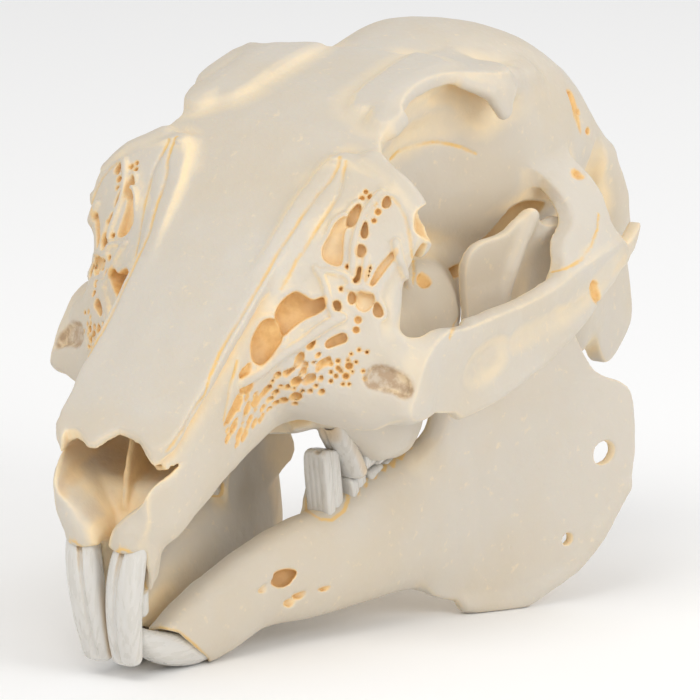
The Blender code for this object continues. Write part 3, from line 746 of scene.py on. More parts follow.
UPPER = [
    (38.3, 0.95, 7.8, 1.7, -4.3), (40.75, 1.2, 7.9, 2.2, -4.9), (43.45, 1.2, 8.1, 2.3, -5.2),
    (46.15, 1.2, 8.2, 2.3, -5.3), (48.8, 1.15, 8.1, 2.2, -5.3), (50.9, 0.65, 7.8, 1.3, -5.0)
]
LOWER = [
    (35.7, 1.55, 6.9, 1.45, -0.6), (39.4, 1.45, 7.4, 1.8, -5), (42.6, 1.45, 7.8, 1.8, -5.5),
    (45.7, 1.35, 8.1, 1.7, -5.6), (48.1, 0.75, 8.4, 1.2, -5.6)
]


def shaft_shape(x, y, hx, hy, low, high):
    """A cheek tooth: a rounded column from its root to its worn top."""
    return loft([(y - hy, hx, low, high, x), (y + hy, hx, low, high, x)], n=6, k=0.4)


P2_PATH = [(7.7, 36.6, 3.0), (7.9, 37.2, 0.2), (8.3, 38.4, -2.6), (8.5, 38.9, -4.3)]


def finer(path, sizes, n=4):
    """More points on a path through the same stations, and the sizes there."""
    at = np.arange(len(path), dtype=float)
    t = np.linspace(0, len(path) - 1, (len(path) - 1) * n + 1)
    P = np.array(path, float)
    return (
        np.stack([cubic(t, at, P[:, c]) for c in range(3)], 1),
        [cubic(t, at, np.array(s, float)) for s in sizes]
    )


def tooth_shape(key):
    """Shapes of one tooth: what is added, then what is cut."""
    if key == "upper_incisor":
        groove = [(x - 0.42, y - d - 0.08, z) for (x, y, z), d in zip(
            UPPER_INCISOR[2:], INCISOR_DEEP[2:]
        )]
        path, (wide, deep) = finer(UPPER_INCISOR, (INCISOR_WIDE, INCISOR_DEEP))
        return [bar(path, wide, deep, 2.7)], [limb(groove, 0.3)]
    if key == "peg_tooth":
        return [bar(PEG_TOOTH, 0.8, 0.8, 2.5)], []
    if key == "lower_incisor":
        path, (wide, deep) = finer(LOWER_INCISOR, (
            (1.3, 1.5, 1.7, 1.75, 1.7, 1.5, 1.2), (1.2, 1.45, 1.75, 1.8, 1.7, 1.4, 1.0)
        ), 6)
        return [bar(path, wide, deep, 2.4)], []
    if key == "upper_p2":
        return ([bar(P2_PATH, 1.75, 1.0, 2.6)], [limb([
            (7.2, 35.95, 1.5), (7.6, 36.95, -2.4), (7.9, 37.75, -4.6)
        ], 0.22)])
    jaw, name = key.split("_")
    rows = UPPER if jaw == "upper" else LOWER
    row = dict(zip(CHEEK_TEETH[-len(rows):], rows))[name]
    y, hy, x, hx, w = row
    low, high = (w, 4.6) if jaw == "upper" else (-13.6, w)
    cuts = [limb([(x + hx + 0.05, y - 0.1, low - 1), (x + hx + 0.05, y - 0.1, high + 1)], 0.24)]
    cuts += [limb([(x - hx - 0.05, y + 0.1, low - 1), (x - hx - 0.05, y + 0.1, high + 1)], 0.24)]
    if key == "lower_p3":
        cuts += [
            limb([
                (x + t, y - hy - 0.06, low), (x + t, y - hy - 0.06, high + 1)
            ], 0.12) for t in (-0.7, -0.1, 0.5)
        ]
        cuts += [sheet("x", [
            (y - 1.0, w + 0.05), (y + 3, w - 1.5), (y + 3, w + 3), (y - 1.0, w + 3)
        ], x, 9, smooth=False, k=0.1)]
        cuts += [limb([(x + 0.4, y - hy - 0.1, w + 0.15), (x + 0.4, y + hy, w - 0.3)], 0.4)]
    return [shaft_shape(x, y, hx, hy, low, high)], cuts


def tooth_boxes():
    """Name and grid corners of each tooth of the left side."""
    out = [
        ("upper_incisor", (-0.2, 1.0, -13.6), (6.2, 13.6, 4.6)),
        ("peg_tooth", (0.6, 5, -9), (4, 9.8, 2.6)), ("lower_incisor", (0.2, 4, -17.4), (6.2, 26.4, -8))
    ]
    for n, (y, hy, x, hx, w) in zip(CHEEK_TEETH, UPPER):
        out.append((
            "upper_" + n, (x - hx - 0.8, y - hy - 1.4, w - 0.8), (x + hx + 0.9, y + hy + 1.2, 5.4)
        ))
    for n, (y, hy, x, hx, w) in zip(CHEEK_TEETH[1:], LOWER):
        out.append((
            "lower_" + n, (x - hx - 0.8, y - hy - 0.8, -14.4), (x + hx + 0.8, y + hy + 0.8, w + 0.8)
        ))
    return out


def near_lines(p, lines, width):
    """Share 0..1: how near each point is to any of the lines."""
    q = p.copy()
    q[:, 0] = np.abs(q[:, 0])
    share = np.zeros(len(p))
    for line in lines:
        P = np.array(line, float)
        box = np.all((q > P.min(0) - 1) & (q < P.max(0) + 1), axis=1)
        r = q[box]
        best = np.full(len(r), 99.0)
        for a, b in zip(P[:-1], P[1:]):
            ab = b - a
            h = np.clip((r - a) @ ab / max(ab @ ab, 1e-9), 0, 1)
            best = np.minimum(best, np.linalg.norm(r - a - h[:, None] * ab, axis=1))
        share[box] = np.maximum(share[box], np.clip(1.5 - best / width, 0, 1))
    return share


def tooth_fields(step):
    """Name and field of each tooth of the left side."""
    out = []
    for name, lo, hi in tooth_boxes():
        f = Field(lo, hi, step)
        adds, cuts = tooth_shape(name)
        for sh in adds:
            f.add(sh, 0)
        for sh in cuts:
            f.cut(sh, 0.1)
        out.append((name, f))
    return out


# Sutures, as pixels of the photograph on the near side
SUTURES = [
    [
        (340, 156), (338, 167), (330, 181), (318, 193), (304, 213), (292, 232), (279, 250), (269, 269),
        (256, 291), (243, 313), (231, 332), (220, 352), (211, 374), (204, 396), (198, 404), (185, 428),
        (174, 443), (167, 452)
    ],
    [
        (346, 161), (343, 174), (341, 185), (338, 195), (330, 208), (322, 221), (313, 235), (304, 250),
        (296, 261), (289, 276), (281, 289)
    ],
    [(237, 361), (231, 385), (228, 404), (224, 420)],
    [(392, 197), (400, 206), (405, 217), (408, 230), (411, 245), (413, 260), (414, 276), (411, 285)],
    [(599, 214), (598, 228), (592, 245), (581, 260), (566, 269), (552, 272)],
    [(390, 159), (397, 152), (414, 145), (432, 142), (438, 142), (449, 144), (461, 147), (476, 154)],
    [(462, 312), (454, 326), (450, 338)]
]


# Windows through or into the bone: outline in pixels, depth in millimetres
WINDOWS = [
    ([
        (251, 343), (256, 330), (263, 321), (272, 319), (279, 326), (282, 339), (274, 352), (265, 363),
        (259, 365), (252, 359)
    ], 1.7),
    ([
        (281, 302), (294, 292), (304, 295), (313, 300), (326, 297), (325, 308), (315, 315), (304, 320),
        (292, 328), (283, 336), (279, 326), (275, 316)
    ], 1.9),
    ([
        (330, 235), (335, 224), (344, 217), (348, 221), (344, 234), (343, 248), (342, 263), (337, 266),
        (328, 263), (323, 258), (323, 248)
    ], 0.8),
    ([(348, 217), (353, 209), (359, 204), (361, 209), (357, 221), (352, 226), (347, 226)], 1.1),
    ([(363, 226), (366, 222), (368, 233), (365, 239), (361, 235)], 1.2),
    (oval(360.5, 251, 6.0, 6.6), 0.8),
    ([(358, 267), (363, 268), (361, 278), (355, 283), (351, 282), (356, 276)], 1.0),
    ([(372, 265), (369, 276), (365, 282), (364, 276), (367, 267)], 0.6),
    ([
        (398, 252), (393, 260), (381, 276), (374, 285), (370, 284), (377, 269), (386, 258), (396, 248)
    ], 0.5),
    (oval(351.7, 298, 3.8, 6.2), 1.1), (oval(336.3, 306, 4.6, 5.8), 1.1),
    ([(376, 302), (381, 307), (383, 315), (377, 317), (373, 312)], 1.1),
    ([(361, 291), (372, 293), (374, 302), (366, 311), (357, 307), (357, 296)], 0.6),
    ([(325, 345), (329, 339), (344, 333), (347, 341), (337, 345), (328, 348)], 1.2),
    ([(383, 200), (388, 196), (391, 204), (387, 208), (382, 207)], 1.0)
]
PORES = [
    (358, 320, 0.3), (356, 330, 0.3), (341, 289, 0.25), (348, 267, 0.25), (327, 361, 0.3),
    (331, 364, 0.2), (338, 361, 0.25), (338, 368, 0.25), (348, 360, 0.2), (349, 366, 0.4),
    (346, 376, 0.35), (343, 384, 0.2), (349, 384, 0.2), (321, 364, 0.3), (321, 378, 0.2),
    (322, 391, 0.25), (359, 350, 0.2), (367, 352, 0.2), (363, 371, 0.2), (365, 379, 0.2),
    (296, 381, 0.42), (307, 380, 0.3), (309, 377, 0.25), (312, 378, 0.3), (300, 357, 0.3),
    (299, 362, 0.3), (311, 344, 0.3), (296, 396, 0.5), (284, 399, 0.38), (255, 401, 0.3), (237, 403, 0.6),
    (247, 408, 0.42), (268, 387, 0.3), (276, 391, 0.28), (287, 372, 0.28), (278, 374, 0.25),
    (242, 374, 0.4), (247, 369, 0.35), (243, 388, 0.42), (248, 388, 0.4), (303, 372, 0.25),
    (311, 390, 0.22), (305, 365, 0.22), (232, 412, 0.45), (229, 417, 0.4), (233, 427, 0.4),
    (239, 434, 0.4), (244, 436, 0.3), (227, 438, 0.3), (237, 443, 0.25), (249, 420, 0.28),
    (254, 423, 0.28), (261, 418, 0.28), (256, 402, 0.3), (276, 402, 0.25), (295, 403, 0.22),
    (270, 398, 0.25), (263, 393, 0.25), (288, 386, 0.25), (262, 408, 0.22), (331, 372, 0.2),
    (336, 376, 0.2), (341, 371, 0.2), (331, 381, 0.2), (351, 354, 0.2), (352, 372, 0.2), (356, 362, 0.2),
    (375, 203, 0.3), (370, 197, 0.25), (366, 192, 0.22), (362, 199, 0.25), (378, 212, 0.3),
    (374, 221, 0.22)
]
STRUTS = [
    ([(241, 383), (261, 372), (279, 357), (300, 344), (315, 333), (328, 324), (344, 317)], 0.42),
    ([(315, 267), (322, 276), (326, 287), (328, 302), (333, 313), (342, 315)], 0.28),
    ([(382, 191), (372, 202), (363, 215), (357, 230), (354, 245), (353, 259), (352, 270)], 0.3),
    ([(367, 256), (365, 270), (363, 283), (365, 291)], 0.24),
    ([(346, 287), (355, 288), (363, 287), (370, 291)], 0.3),
    ([(396, 241), (400, 259), (405, 274), (409, 285)], 0.4),
    ([(324, 270), (335, 272), (346, 275), (352, 284)], 0.24)
]
ORBIT_WINDOWS = [
    ([
        (416, 214), (426, 205), (440, 203), (452, 210), (454, 224), (450, 240), (452, 258), (442, 262),
        (436, 246), (424, 238), (415, 230)
    ], 2.0),
    ([
        (452, 258), (459, 238), (466, 226), (483, 219), (500, 214), (518, 203), (531, 200), (545, 203),
        (552, 214), (545, 230), (525, 245), (500, 252), (480, 256), (468, 264), (455, 268)
    ], 3.5),
    ([(441, 277), (445, 271), (456, 265), (465, 264), (464, 272), (456, 277), (447, 278)], 1.5),
    (oval(424, 280, 7.5, 8.2), 0.7), (oval(461, 298, 2.6, 5.2), 1.4)
]
REAR_SPOTS = [
    (577, 174, 0.4), (595, 295, 0.6), (591, 286, 0.35), (599, 303, 0.4), (578, 112, 0.3), (587, 131, 0.35)
]
REAR_BAND = [
    ([
        (566, 92), (571, 94), (576, 103), (581, 112), (586, 122), (589, 133), (586, 137), (581, 130),
        (577, 119), (571, 109), (567, 101)
    ], 0.22),
    ([(573, 171), (579, 170), (584, 175), (580, 178), (574, 176)], 0.2),
    ([(590, 282), (597, 285), (602, 293), (600, 303), (595, 300), (592, 293)], 0.35)
]
BROWN_HOLLOW = [
    (369, 377), (374, 370), (384, 370), (394, 374), (403, 380), (409, 390), (404, 394), (393, 389),
    (381, 387), (371, 384)
]

LIFT_STRUT = np.array([0.05, -0.12, 0.02])


def crease_lines(field, lines):
    """Lines of the photograph laid on the surface."""
    out = []
    for line in lines:
        pts = on_surface(field, dense(line))
        if len(pts) > 1:
            out.append(pts)
    return out


# Shapes with the strength of their tint: under cranium and jaw, a painted glow of light through thin bone
# and painted shade; under brown, the bone's own brown streaks.
PAINTED_GLOW_AND_BROWN_STREAKS = {}


def plug(shape, grow):
    """The same shape, wider all round."""
    dist, lo, hi = shape
    return lambda x, y, z: dist(x, y, z) - grow, np.array(lo) - grow, np.array(hi) + grow


LACE = [
    (228, 440), (222, 425), (236, 396), (262, 386), (290, 366), (318, 352), (325, 362), (318, 385),
    (290, 400), (262, 412), (245, 436)
]


def lace_pits():
    """Small pits strewn over the lower cheek, between the large ones."""
    rng = np.random.default_rng(11)
    out = [(u, v) for u, v, r in PORES]
    for u, v in rng.uniform((220, 350), (328, 442), (1400, 2)):
        inside = poly2(np.array([u]), np.array([v]), LACE)[0] < 0
        if inside and min(math.dist((u, v), q) for q in out) > 6.6:
            out.append((u, v))
    return [(u, v, 0.11 + 0.08 * rng.random()) for u, v in out[len(PORES):]]


def cranium_details(f):
    """Pierced cheek, sutures, foramina and ragged edges; returns the suture lines."""
    lines = crease_lines(f, SUTURES)
    struts = [(on_surface(f, dense(line)), r) for line, r in STRUTS]
    cuts = [prism(f, o, d) for o, d in WINDOWS]
    backs = [plug(prism(f, o, d + 0.7, lift=-0.6), 0.5) for o, d in WINDOWS]
    rear = [prism(f, o, d) for o, d in REAR_BAND]
    brown = prism(f, BROWN_HOLLOW, 0.5)
    pores = []
    spots = PORES + lace_pits() + REAR_SPOTS
    pts = depth_of(f, [(u, v) for u, v, r in spots])
    rays = sight([(u, v) for u, v, r in spots])
    for (u, v, r), t, s in zip(spots, pts, rays):
        if np.isnan(t):
            continue
        slant = (RIGHT - 1.5 * DOWN) / 1.8 * (min(r, 0.3) if u < 330 else 0)
        pores.append((EYE + s * (t + 0.1) - slant, EYE + s * (t + 0.1) + slant + s * 0.25, r))
    orbit = [prism(f, o, d) for o, d in ORBIT_WINDOWS]
    # Painted glow of light through thin bone, with painted shade where deep, for the cheek windows,
    # orbit, pores, rear band and rooms; the brown streaks below are the bone's own.
    PAINTED_GLOW_AND_BROWN_STREAKS["cranium"] = [(c, 0.95) for c in cuts[:2] + orbit[2:]] + [(c, 0.7) for c in cuts[2:]]
    PAINTED_GLOW_AND_BROWN_STREAKS["cranium"] += [(limb([a, b], r + 0.05), 0.9) for a, b, r in pores]
    PAINTED_GLOW_AND_BROWN_STREAKS["cranium"] += [(c, 0.6) for c in orbit[:2]] + [(plug(c, 0.2), 0.9) for c in rear] + ROOMS
    PAINTED_GLOW_AND_BROWN_STREAKS["brown"] = [(plug(brown, 0.45), 1.0)]
    for c in backs:
        f.add(c, 0.3)
    for c in cuts + orbit:
        f.cut(c, 0.25)
    for c in rear:
        f.cut(c, 0.5)
    f.cut(brown, 1.2)
    for a, b, r in pores:
        f.cut(limb([a, b], r), 0.15)
    for p, r in struts:
        trace(f, p + LIFT_STRUT, r, add=True, k=0.25)
    for p in lines:
        trace(f, p, 0.16)
    return lines


# The ragged front edge of the nasal bones from above: x, y
NASAL_EDGE = [
    (-8.5, 7.9), (-6.9, 7.4), (-6.3, 6.4), (-5.6, 5.9), (-5.3, 6.5), (-5.2, 7.7), (-4.2, 7.7),
    (-3.2, 7.2), (-2.1, 6.5), (-1.2, 6.5), (-0.3, 7.4), (0.7, 8.2), (1.8, 8.1), (3.3, 7.8), (4.5, 7.0),
    (5.6, 6.4), (6.4, 6.4), (6.9, 7.2), (7.6, 7.8), (8.5, 8.4), (8.5, -2), (-8.5, -2)
]


# The lower jaw: where the incisor lies bare, foramina and small pits
JAW_BARE = [
    (130, 640), (141, 634), (160, 629), (179, 633), (194, 646), (208, 659), (200, 685), (130, 680)
]
JAW_WINDOWS = [
    ([(270, 582), (274, 573), (285, 569), (296, 571), (294, 577), (287, 585), (277, 587)], 2.4),
    ([(257, 591), (266, 584), (272, 584), (264, 592)], 0.35),
    ([(292, 596), (302, 592), (306, 593), (300, 598)], 0.7),
    ([(283, 602), (300, 596), (309, 594), (298, 602), (288, 606)], 0.3),
    ([(318, 589), (328, 586), (331, 588), (322, 591)], 0.5)
]
JAW_LINES = [
    [
        (307, 498), (306, 510), (313, 515), (320, 519), (332, 520), (344, 511), (348, 500), (347, 488),
        (347, 482), (358, 493), (357, 477), (366, 486), (365, 474), (375, 478), (374, 467), (384, 471),
        (387, 460), (393, 467), (395, 456), (401, 459), (405, 450), (411, 448)
    ],
    [(141, 634), (160, 628), (179, 632), (195, 646), (207, 658)]
]


def dentary_details(f):
    """The bared incisor root, foramina and margins of the lower jaw; returns the lines."""
    bare = prism(f, JAW_BARE, 7.0, lift=2.0, at=(170, 650), smooth=False)
    cuts = [prism(f, o, d) for o, d in JAW_WINDOWS]
    # Painted glow and painted shade inside the jaw's foramina.
    PAINTED_GLOW_AND_BROWN_STREAKS["jaw"] = [(c, 0.8) for c in cuts[:1] + cuts[2:3] + cuts[4:]]
    lines = crease_lines(f, JAW_LINES)
    f.cut(bare, 0.4)
    for c in cuts:
        f.cut(c, 0.3)
    return lines


def roughen(f, size, amount, seed):
    """Lets the surface wander by an amount, over a distance in millimetres."""
    rng = np.random.default_rng(seed)
    value = rng.uniform(-1, 1, tuple(int(f.step * n / size) + 3 for n in f.d.shape)).astype(np.float32)
    for axis, n in enumerate(f.d.shape):
        at = np.arange(n) * f.step / size
        low = at.astype(int)
        t = at - low
        t = (t * t * (3 - 2 * t)).astype(np.float32).reshape([-1 if a == axis else 1 for a in range(3)])
        value = np.take(value, low, axis) * (1 - t) + np.take(value, low + 1, axis) * t
    f.d += amount * value


def nasal_front(f):
    """Breaks the nasal roof's edge and leaves thin shreds of the inner bones below it."""
    f.cut(sheet("z", NASAL_EDGE, lambda x, y: nasal_level(y) + 1.2, 6.2, smooth=False, k=0.3), 0.35)
    for pts in (
        [(3.0, 8.8, 10.4), (3.9, 8.6, 9.0), (5.0, 8.2, 8.0), (6.2, 7.8, 8.4)],
        [
            (-3.2, 8.6, 10.0), (-2.6, 8.4, 8.6), (-1.6, 8.4, 7.9), (-0.4, 8.6, 8.1), (0.6, 9.0, 9.4),
            (1.0, 9.4, 10.6)
        ],
        [(4.6, 9.4, 10.8), (5.3, 9.0, 9.2), (6.4, 8.6, 8.6)],
        [(-1.4, 9.0, 10.2), (-0.6, 9.2, 9.4), (0.2, 9.6, 9.8)]
    ):
        f.add(limb(pts, [0.3] * len(pts)), 0.3)


def brow_far(f):
    """The right brow is broken otherwise than the left one: longer in front, shorter behind."""
    f.cut(sheet(
        "z",
        [
            (-5.5, 63.5), (-9.4, 62.2), (-11, 61.8), (-14.4, 63.8), (-16.3, 65.4), (-18, 72), (-13, 78),
            (-5.5, 76)
        ],
        lambda x, y: 36.0 + 0.7 * (x + 5), 6, smooth=False
    ), 1.2)
    f.add(sheet("z", [
        (-6, 50), (-9.3, 46.2), (-11.3, 45.2), (-12.9, 48.4), (-14.4, 51.8), (-14.7, 55.5), (-15.2, 58.7),
        (-16.0, 61.6), (-16.2, 64.8), (-14.4, 63.4), (-12.4, 61.6), (-10.4, 61.4), (-6, 64)
    ], lambda x, y: brow_level(-x, y), 1.3), 1.2)


def gum_lines(f):
    """The orange line where the upper front teeth leave the bone."""
    marks = [[
        (103, 628), (104, 600), (107, 580), (112, 560), (121, 548), (132, 553), (140, 568), (147, 590),
        (150, 603)
    ]]
    return crease_lines(f, marks)


def painted_glow_and_streak_share(p, shapes):
    """Share 0..1: points inside any of the shapes, on either side, for the painted glow and shade, and
    for the brown streaks.
    """
    q = p.copy()
    q[:, 0] = np.abs(q[:, 0])
    share = np.zeros(len(p))
    for (dist, lo, hi), weight in shapes:
        box = np.all((q > np.array(lo) - 0.4) & (q < np.array(hi) + 0.4), axis=1)
        if box.any():
            r = q[box]
            share[box] = np.maximum(share[box], weight * np.clip(
                0.8 - dist(r[:, 0], r[:, 1], r[:, 2]) / 0.25, 0, 1
            ))
    return share


# Meshes


def to_world(points):
    """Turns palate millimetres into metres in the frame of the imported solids."""
    c, s = math.cos(TILT), math.sin(TILT)
    p = np.asarray(points, float)
    y = c * p[:, 1] - s * p[:, 2] - ORIGIN_Y
    z = s * p[:, 1] + c * p[:, 2] + LIFT
    return np.stack([p[:, 0], y, z], 1) * MM


def largest_part(count, faces, share):
    """Marks the faces of islands that hold more than a share of all faces."""
    label = np.arange(count)
    a = faces.ravel()
    b = np.roll(faces, 1, axis=1).ravel()
    while True:
        low = np.minimum(label[a], label[b])
        new = label.copy()
        np.minimum.at(new, a, low)
        np.minimum.at(new, b, low)
        new = new[new]
        if np.array_equal(new, label):
            break
        label = new
    sizes = np.bincount(label[faces[:, 0]], minlength=count)
    return sizes[label[faces[:, 0]]] > share * len(faces)


def mesh_object(name, points, quads):
    """A mesh object from palate points and quads."""
    keep = largest_part(len(points), quads, STRAY_SHARE)
    quads = quads[keep]
    used = np.unique(quads)
    remap = np.full(len(points), -1)
    remap[used] = np.arange(len(used))
    quads = remap[quads]
    co = to_world(points[used])
    mesh = bpy.data.meshes.new(name)
    mesh.vertices.add(len(co))
    mesh.vertices.foreach_set("co", co.ravel())
    mesh.loops.add(quads.size)
    mesh.loops.foreach_set("vertex_index", quads.ravel())
    mesh.polygons.add(len(quads))
    mesh.polygons.foreach_set("loop_start", np.arange(0, quads.size, 4))
    mesh.polygons.foreach_set("loop_total", np.full(len(quads), 4))
    mesh.update(calc_edges=True)
    mesh.validate()
    obj = bpy.data.objects.new(name, mesh)
    bpy.context.scene.collection.objects.link(obj)
    return obj


def thin_out(obj, limit):
    """Leaves at most limit triangles, fewest where the surface is plain."""
    count = 2 * len(obj.data.polygons)
    if count > limit:
        mod = obj.modifiers.new("thin out", "DECIMATE")
        mod.ratio = limit / count
        graph = bpy.context.evaluated_depsgraph_get()
        mesh = bpy.data.meshes.new_from_object(obj.evaluated_get(graph))
        obj.modifiers.clear()
        old = obj.data
        obj.data = mesh
        bpy.data.meshes.remove(old)
        mesh.name = obj.name
    obj.data.polygons.foreach_set("use_smooth", [True] * len(obj.data.polygons))


def palate_points(obj):
    """The object's vertices back in palate millimetres."""
    co = np.empty(3 * len(obj.data.vertices))
    obj.data.vertices.foreach_get("co", co)
    w = co.reshape(-1, 3) / MM
    c, s = math.cos(TILT), math.sin(TILT)
    y = w[:, 1] + ORIGIN_Y
    z = w[:, 2] - LIFT
    return np.stack([w[:, 0], c * y + s * z, c * z - s * y], 1)


def point_normals(obj):
    """The vertex normals in the palate's axes."""
    n = np.empty(3 * len(obj.data.vertices))
    obj.data.vertex_normals.foreach_get("vector", n)
    w = n.reshape(-1, 3)
    c, s = math.cos(TILT), math.sin(TILT)
    return np.stack([w[:, 0], c * w[:, 1] + s * w[:, 2], c * w[:, 2] - s * w[:, 1]], 1)


def set_value(obj, name, values):
    """Stores one number a point, for the material's Attribute node."""
    layer = obj.data.attributes.new(name, "FLOAT", "POINT")
    layer.data.foreach_set("value", np.asarray(values, np.float32))


def shade_hollows(obj, field):
    """Stores how enclosed each point is, near and far, for the colour's painted shade and painted bounce
    light.
    """
    p = palate_points(obj)
    n = point_normals(obj)
    near = 1 - look_up(field, p + NEAR_REACH * n) / NEAR_REACH
    far = 0
    for reach in FAR_REACHES:
        far = far + np.clip(1 - look_up(field, p + reach * n) / reach, 0, 1)
    set_value(obj, "near_hollow", np.clip(near, 0, 1))
    # Inner faces of the side pieces count as enclosed too: painted bounce light of a shaded side, partly
    # the bone's own discolouring.
    inward = np.clip(-n[:, 0] * np.sign(p[:, 0]), 0, 1) * np.clip(np.abs(p[:, 0]) - 5, 0, 1)
    set_value(obj, "far_hollow", np.clip(np.maximum(far / 2, INWARD_SHARE * inward), 0, 1))
    return p


# Materials


def new_material(name):
    """A material with its node tree and its shader."""
    mat = bpy.data.materials.new(name)
    mat.use_nodes = True
    tree = mat.node_tree
    shader = tree.nodes["Principled BSDF"]
    return mat, tree, shader


def node(tree, kind, **settings):
    """A node with its sockets and settings given by name."""
    n = tree.nodes.new(kind)
    for key, value in settings.items():
        if key in n.inputs.keys():
            n.inputs[key].default_value = value
        else:
            setattr(n, key, value)
    return n


def noise(tree, place, scale, detail=4.0, rough=0.5):
    """A noise share at a place."""
    n = node(tree, "ShaderNodeTexNoise")
    n.inputs["Scale"].default_value = scale
    n.inputs["Detail"].default_value = detail
    n.inputs["Roughness"].default_value = rough
    tree.links.new(place, n.inputs["Vector"])
    return n.outputs["Fac"]


def ramp(tree, value, low, high, out_low=0.0, out_high=1.0):
    """Maps a value from one range to another."""
    n = node(tree, "ShaderNodeMapRange")
    n.inputs["From Min"].default_value = low
    n.inputs["From Max"].default_value = high
    n.inputs["To Min"].default_value = out_low
    n.inputs["To Max"].default_value = out_high
    tree.links.new(value, n.inputs["Value"])
    return n.outputs["Result"]


def blend_colour(tree, share, first, second):
    """Mixes two colours, each a constant or a socket, by a share."""
    n = node(tree, "ShaderNodeMix", data_type="RGBA")
    tree.links.new(share, n.inputs["Factor"])
    for socket, value in ((n.inputs[6], first), (n.inputs[7], second)):
        if isinstance(value, tuple):
            socket.default_value = (*value, 1)
        else:
            tree.links.new(value, socket)
    return n.outputs[2]


def calc(tree, what, a, b):
    """One step of arithmetic on sockets or constants."""
    n = node(tree, "ShaderNodeMath", operation=what)
    for socket, value in ((n.inputs[0], a), (n.inputs[1], b)):
        if isinstance(value, (int, float)):
            socket.default_value = value
        else:
            tree.links.new(value, socket)
    return n.outputs[0]


def attribute(tree, name):
    """A number stored at the points."""
    return node(tree, "ShaderNodeAttribute", attribute_name=name).outputs["Fac"]


IVORY = (0.61, 0.535, 0.425)
GREYISH = (0.615, 0.562, 0.482)
# CREAM: random flecks, and painted bounce light in enclosed shade, partly the bone's discolouring. AMBER
# and DEEP: painted shade in recesses and a painted glow of light through thin bone.
CREAM = (0.86, 0.7, 0.46)
AMBER = (0.84, 0.55, 0.22)
DEEP = (0.7, 0.41, 0.14)
SUTURE = (0.78, 0.52, 0.2)
BROWN = (0.42, 0.29, 0.18)


def bone_material():
    """Dry bone: ivory; amber and cream where enclosed as painted shade and painted bounce light, a
    painted amber glow where pierced, amber along the seams.
    """
    mat, tree, shader = new_material("dry_bone")
    place = node(tree, "ShaderNodeTexCoord").outputs["Object"]
    cloud = noise(tree, place, 70.0, 3.0)
    patch = noise(tree, place, 210.0, 4.0, 0.6)
    speck = noise(tree, place, 900.0, 3.0, 0.6)
    base = blend_colour(tree, ramp(tree, cloud, 0.4, 0.62), GREYISH, IVORY)
    base = blend_colour(tree, ramp(tree, speck, 0.62, 0.74, 0.0, 0.35), base, CREAM)
    near = attribute(tree, "near_hollow")
    far = attribute(tree, "far_hollow")
    # Painted bounce light in shaded, enclosed places: cream where far_hollow is high, partly the bone's
    # own discolouring there.
    painted_bounce_light = calc(tree, "MULTIPLY", ramp(tree, far, 0.06, 0.45), ramp(tree, patch, 0.3, 0.6, 0.6, 1.0))
    base = blend_colour(tree, painted_bounce_light, base, CREAM)
    # Painted shade: amber where near_hollow says the bone is closely enclosed.
    deep = calc(tree, "MULTIPLY", ramp(tree, near, 0.3, 0.9), ramp(tree, patch, 0.38, 0.66, 0.1, 0.75))
    base = blend_colour(tree, deep, base, AMBER)
    # Painted glow of light through thin bone in the windows, pores and rooms, turning deep amber as
    # painted shade where near_hollow is high.
    painted_glow_and_shade = attribute(tree, "painted_glow_and_shade")
    amber = blend_colour(tree, ramp(tree, speck, 0.4, 0.6, 0.3, 1.0), DEEP, AMBER)
    amber = blend_colour(tree, ramp(tree, near, 0.35, 0.9, 0.0, 0.6), amber, DEEP)
    base = blend_colour(tree, ramp(tree, painted_glow_and_shade, 0.2, 0.9, 0.0, 0.92), base, amber)
    seam = attribute(tree, "suture")
    line = calc(tree, "MULTIPLY", ramp(tree, seam, 0.1, 0.8), ramp(tree, patch, 0.36, 0.58, 0.65, 1.0))
    base = blend_colour(tree, line, base, SUTURE)
    brown = calc(tree, "MULTIPLY", attribute(tree, "brown"), ramp(tree, speck, 0.38, 0.6, 0.25, 0.9))
    base = blend_colour(tree, brown, base, BROWN)
    tree.links.new(base, shader.inputs["Base Color"])
    grain = noise(tree, place, 1400.0, 3.0, 0.6)
    tree.links.new(ramp(tree, grain, 0.3, 0.7, 0.42, 0.6), shader.inputs["Roughness"])
    pores = node(tree, "ShaderNodeTexVoronoi", feature="F1")
    pores.inputs["Scale"].default_value = 1500.0
    tree.links.new(place, pores.inputs["Vector"])
    pits = ramp(tree, pores.outputs["Distance"], 0.0, 0.35)
    height = calc(tree, "ADD", calc(tree, "MULTIPLY", pits, 0.25), grain)
    height = calc(tree, "ADD", height, calc(tree, "MULTIPLY", noise(tree, place, 330.0, 4.0), 1.2))
    bump = node(tree, "ShaderNodeBump")
    bump.inputs["Strength"].default_value = 0.35
    bump.inputs["Distance"].default_value = 0.00012
    tree.links.new(height, bump.inputs["Height"])
    tree.links.new(bump.outputs["Normal"], shader.inputs["Normal"])
    shader.inputs["Subsurface Weight"].default_value = 0.12
    shader.inputs["Subsurface Radius"].default_value = (1.0, 0.6, 0.3)
    shader.inputs["Subsurface Scale"].default_value = 0.0012
    shader.inputs["Specular IOR Level"].default_value = 0.4
    return mat


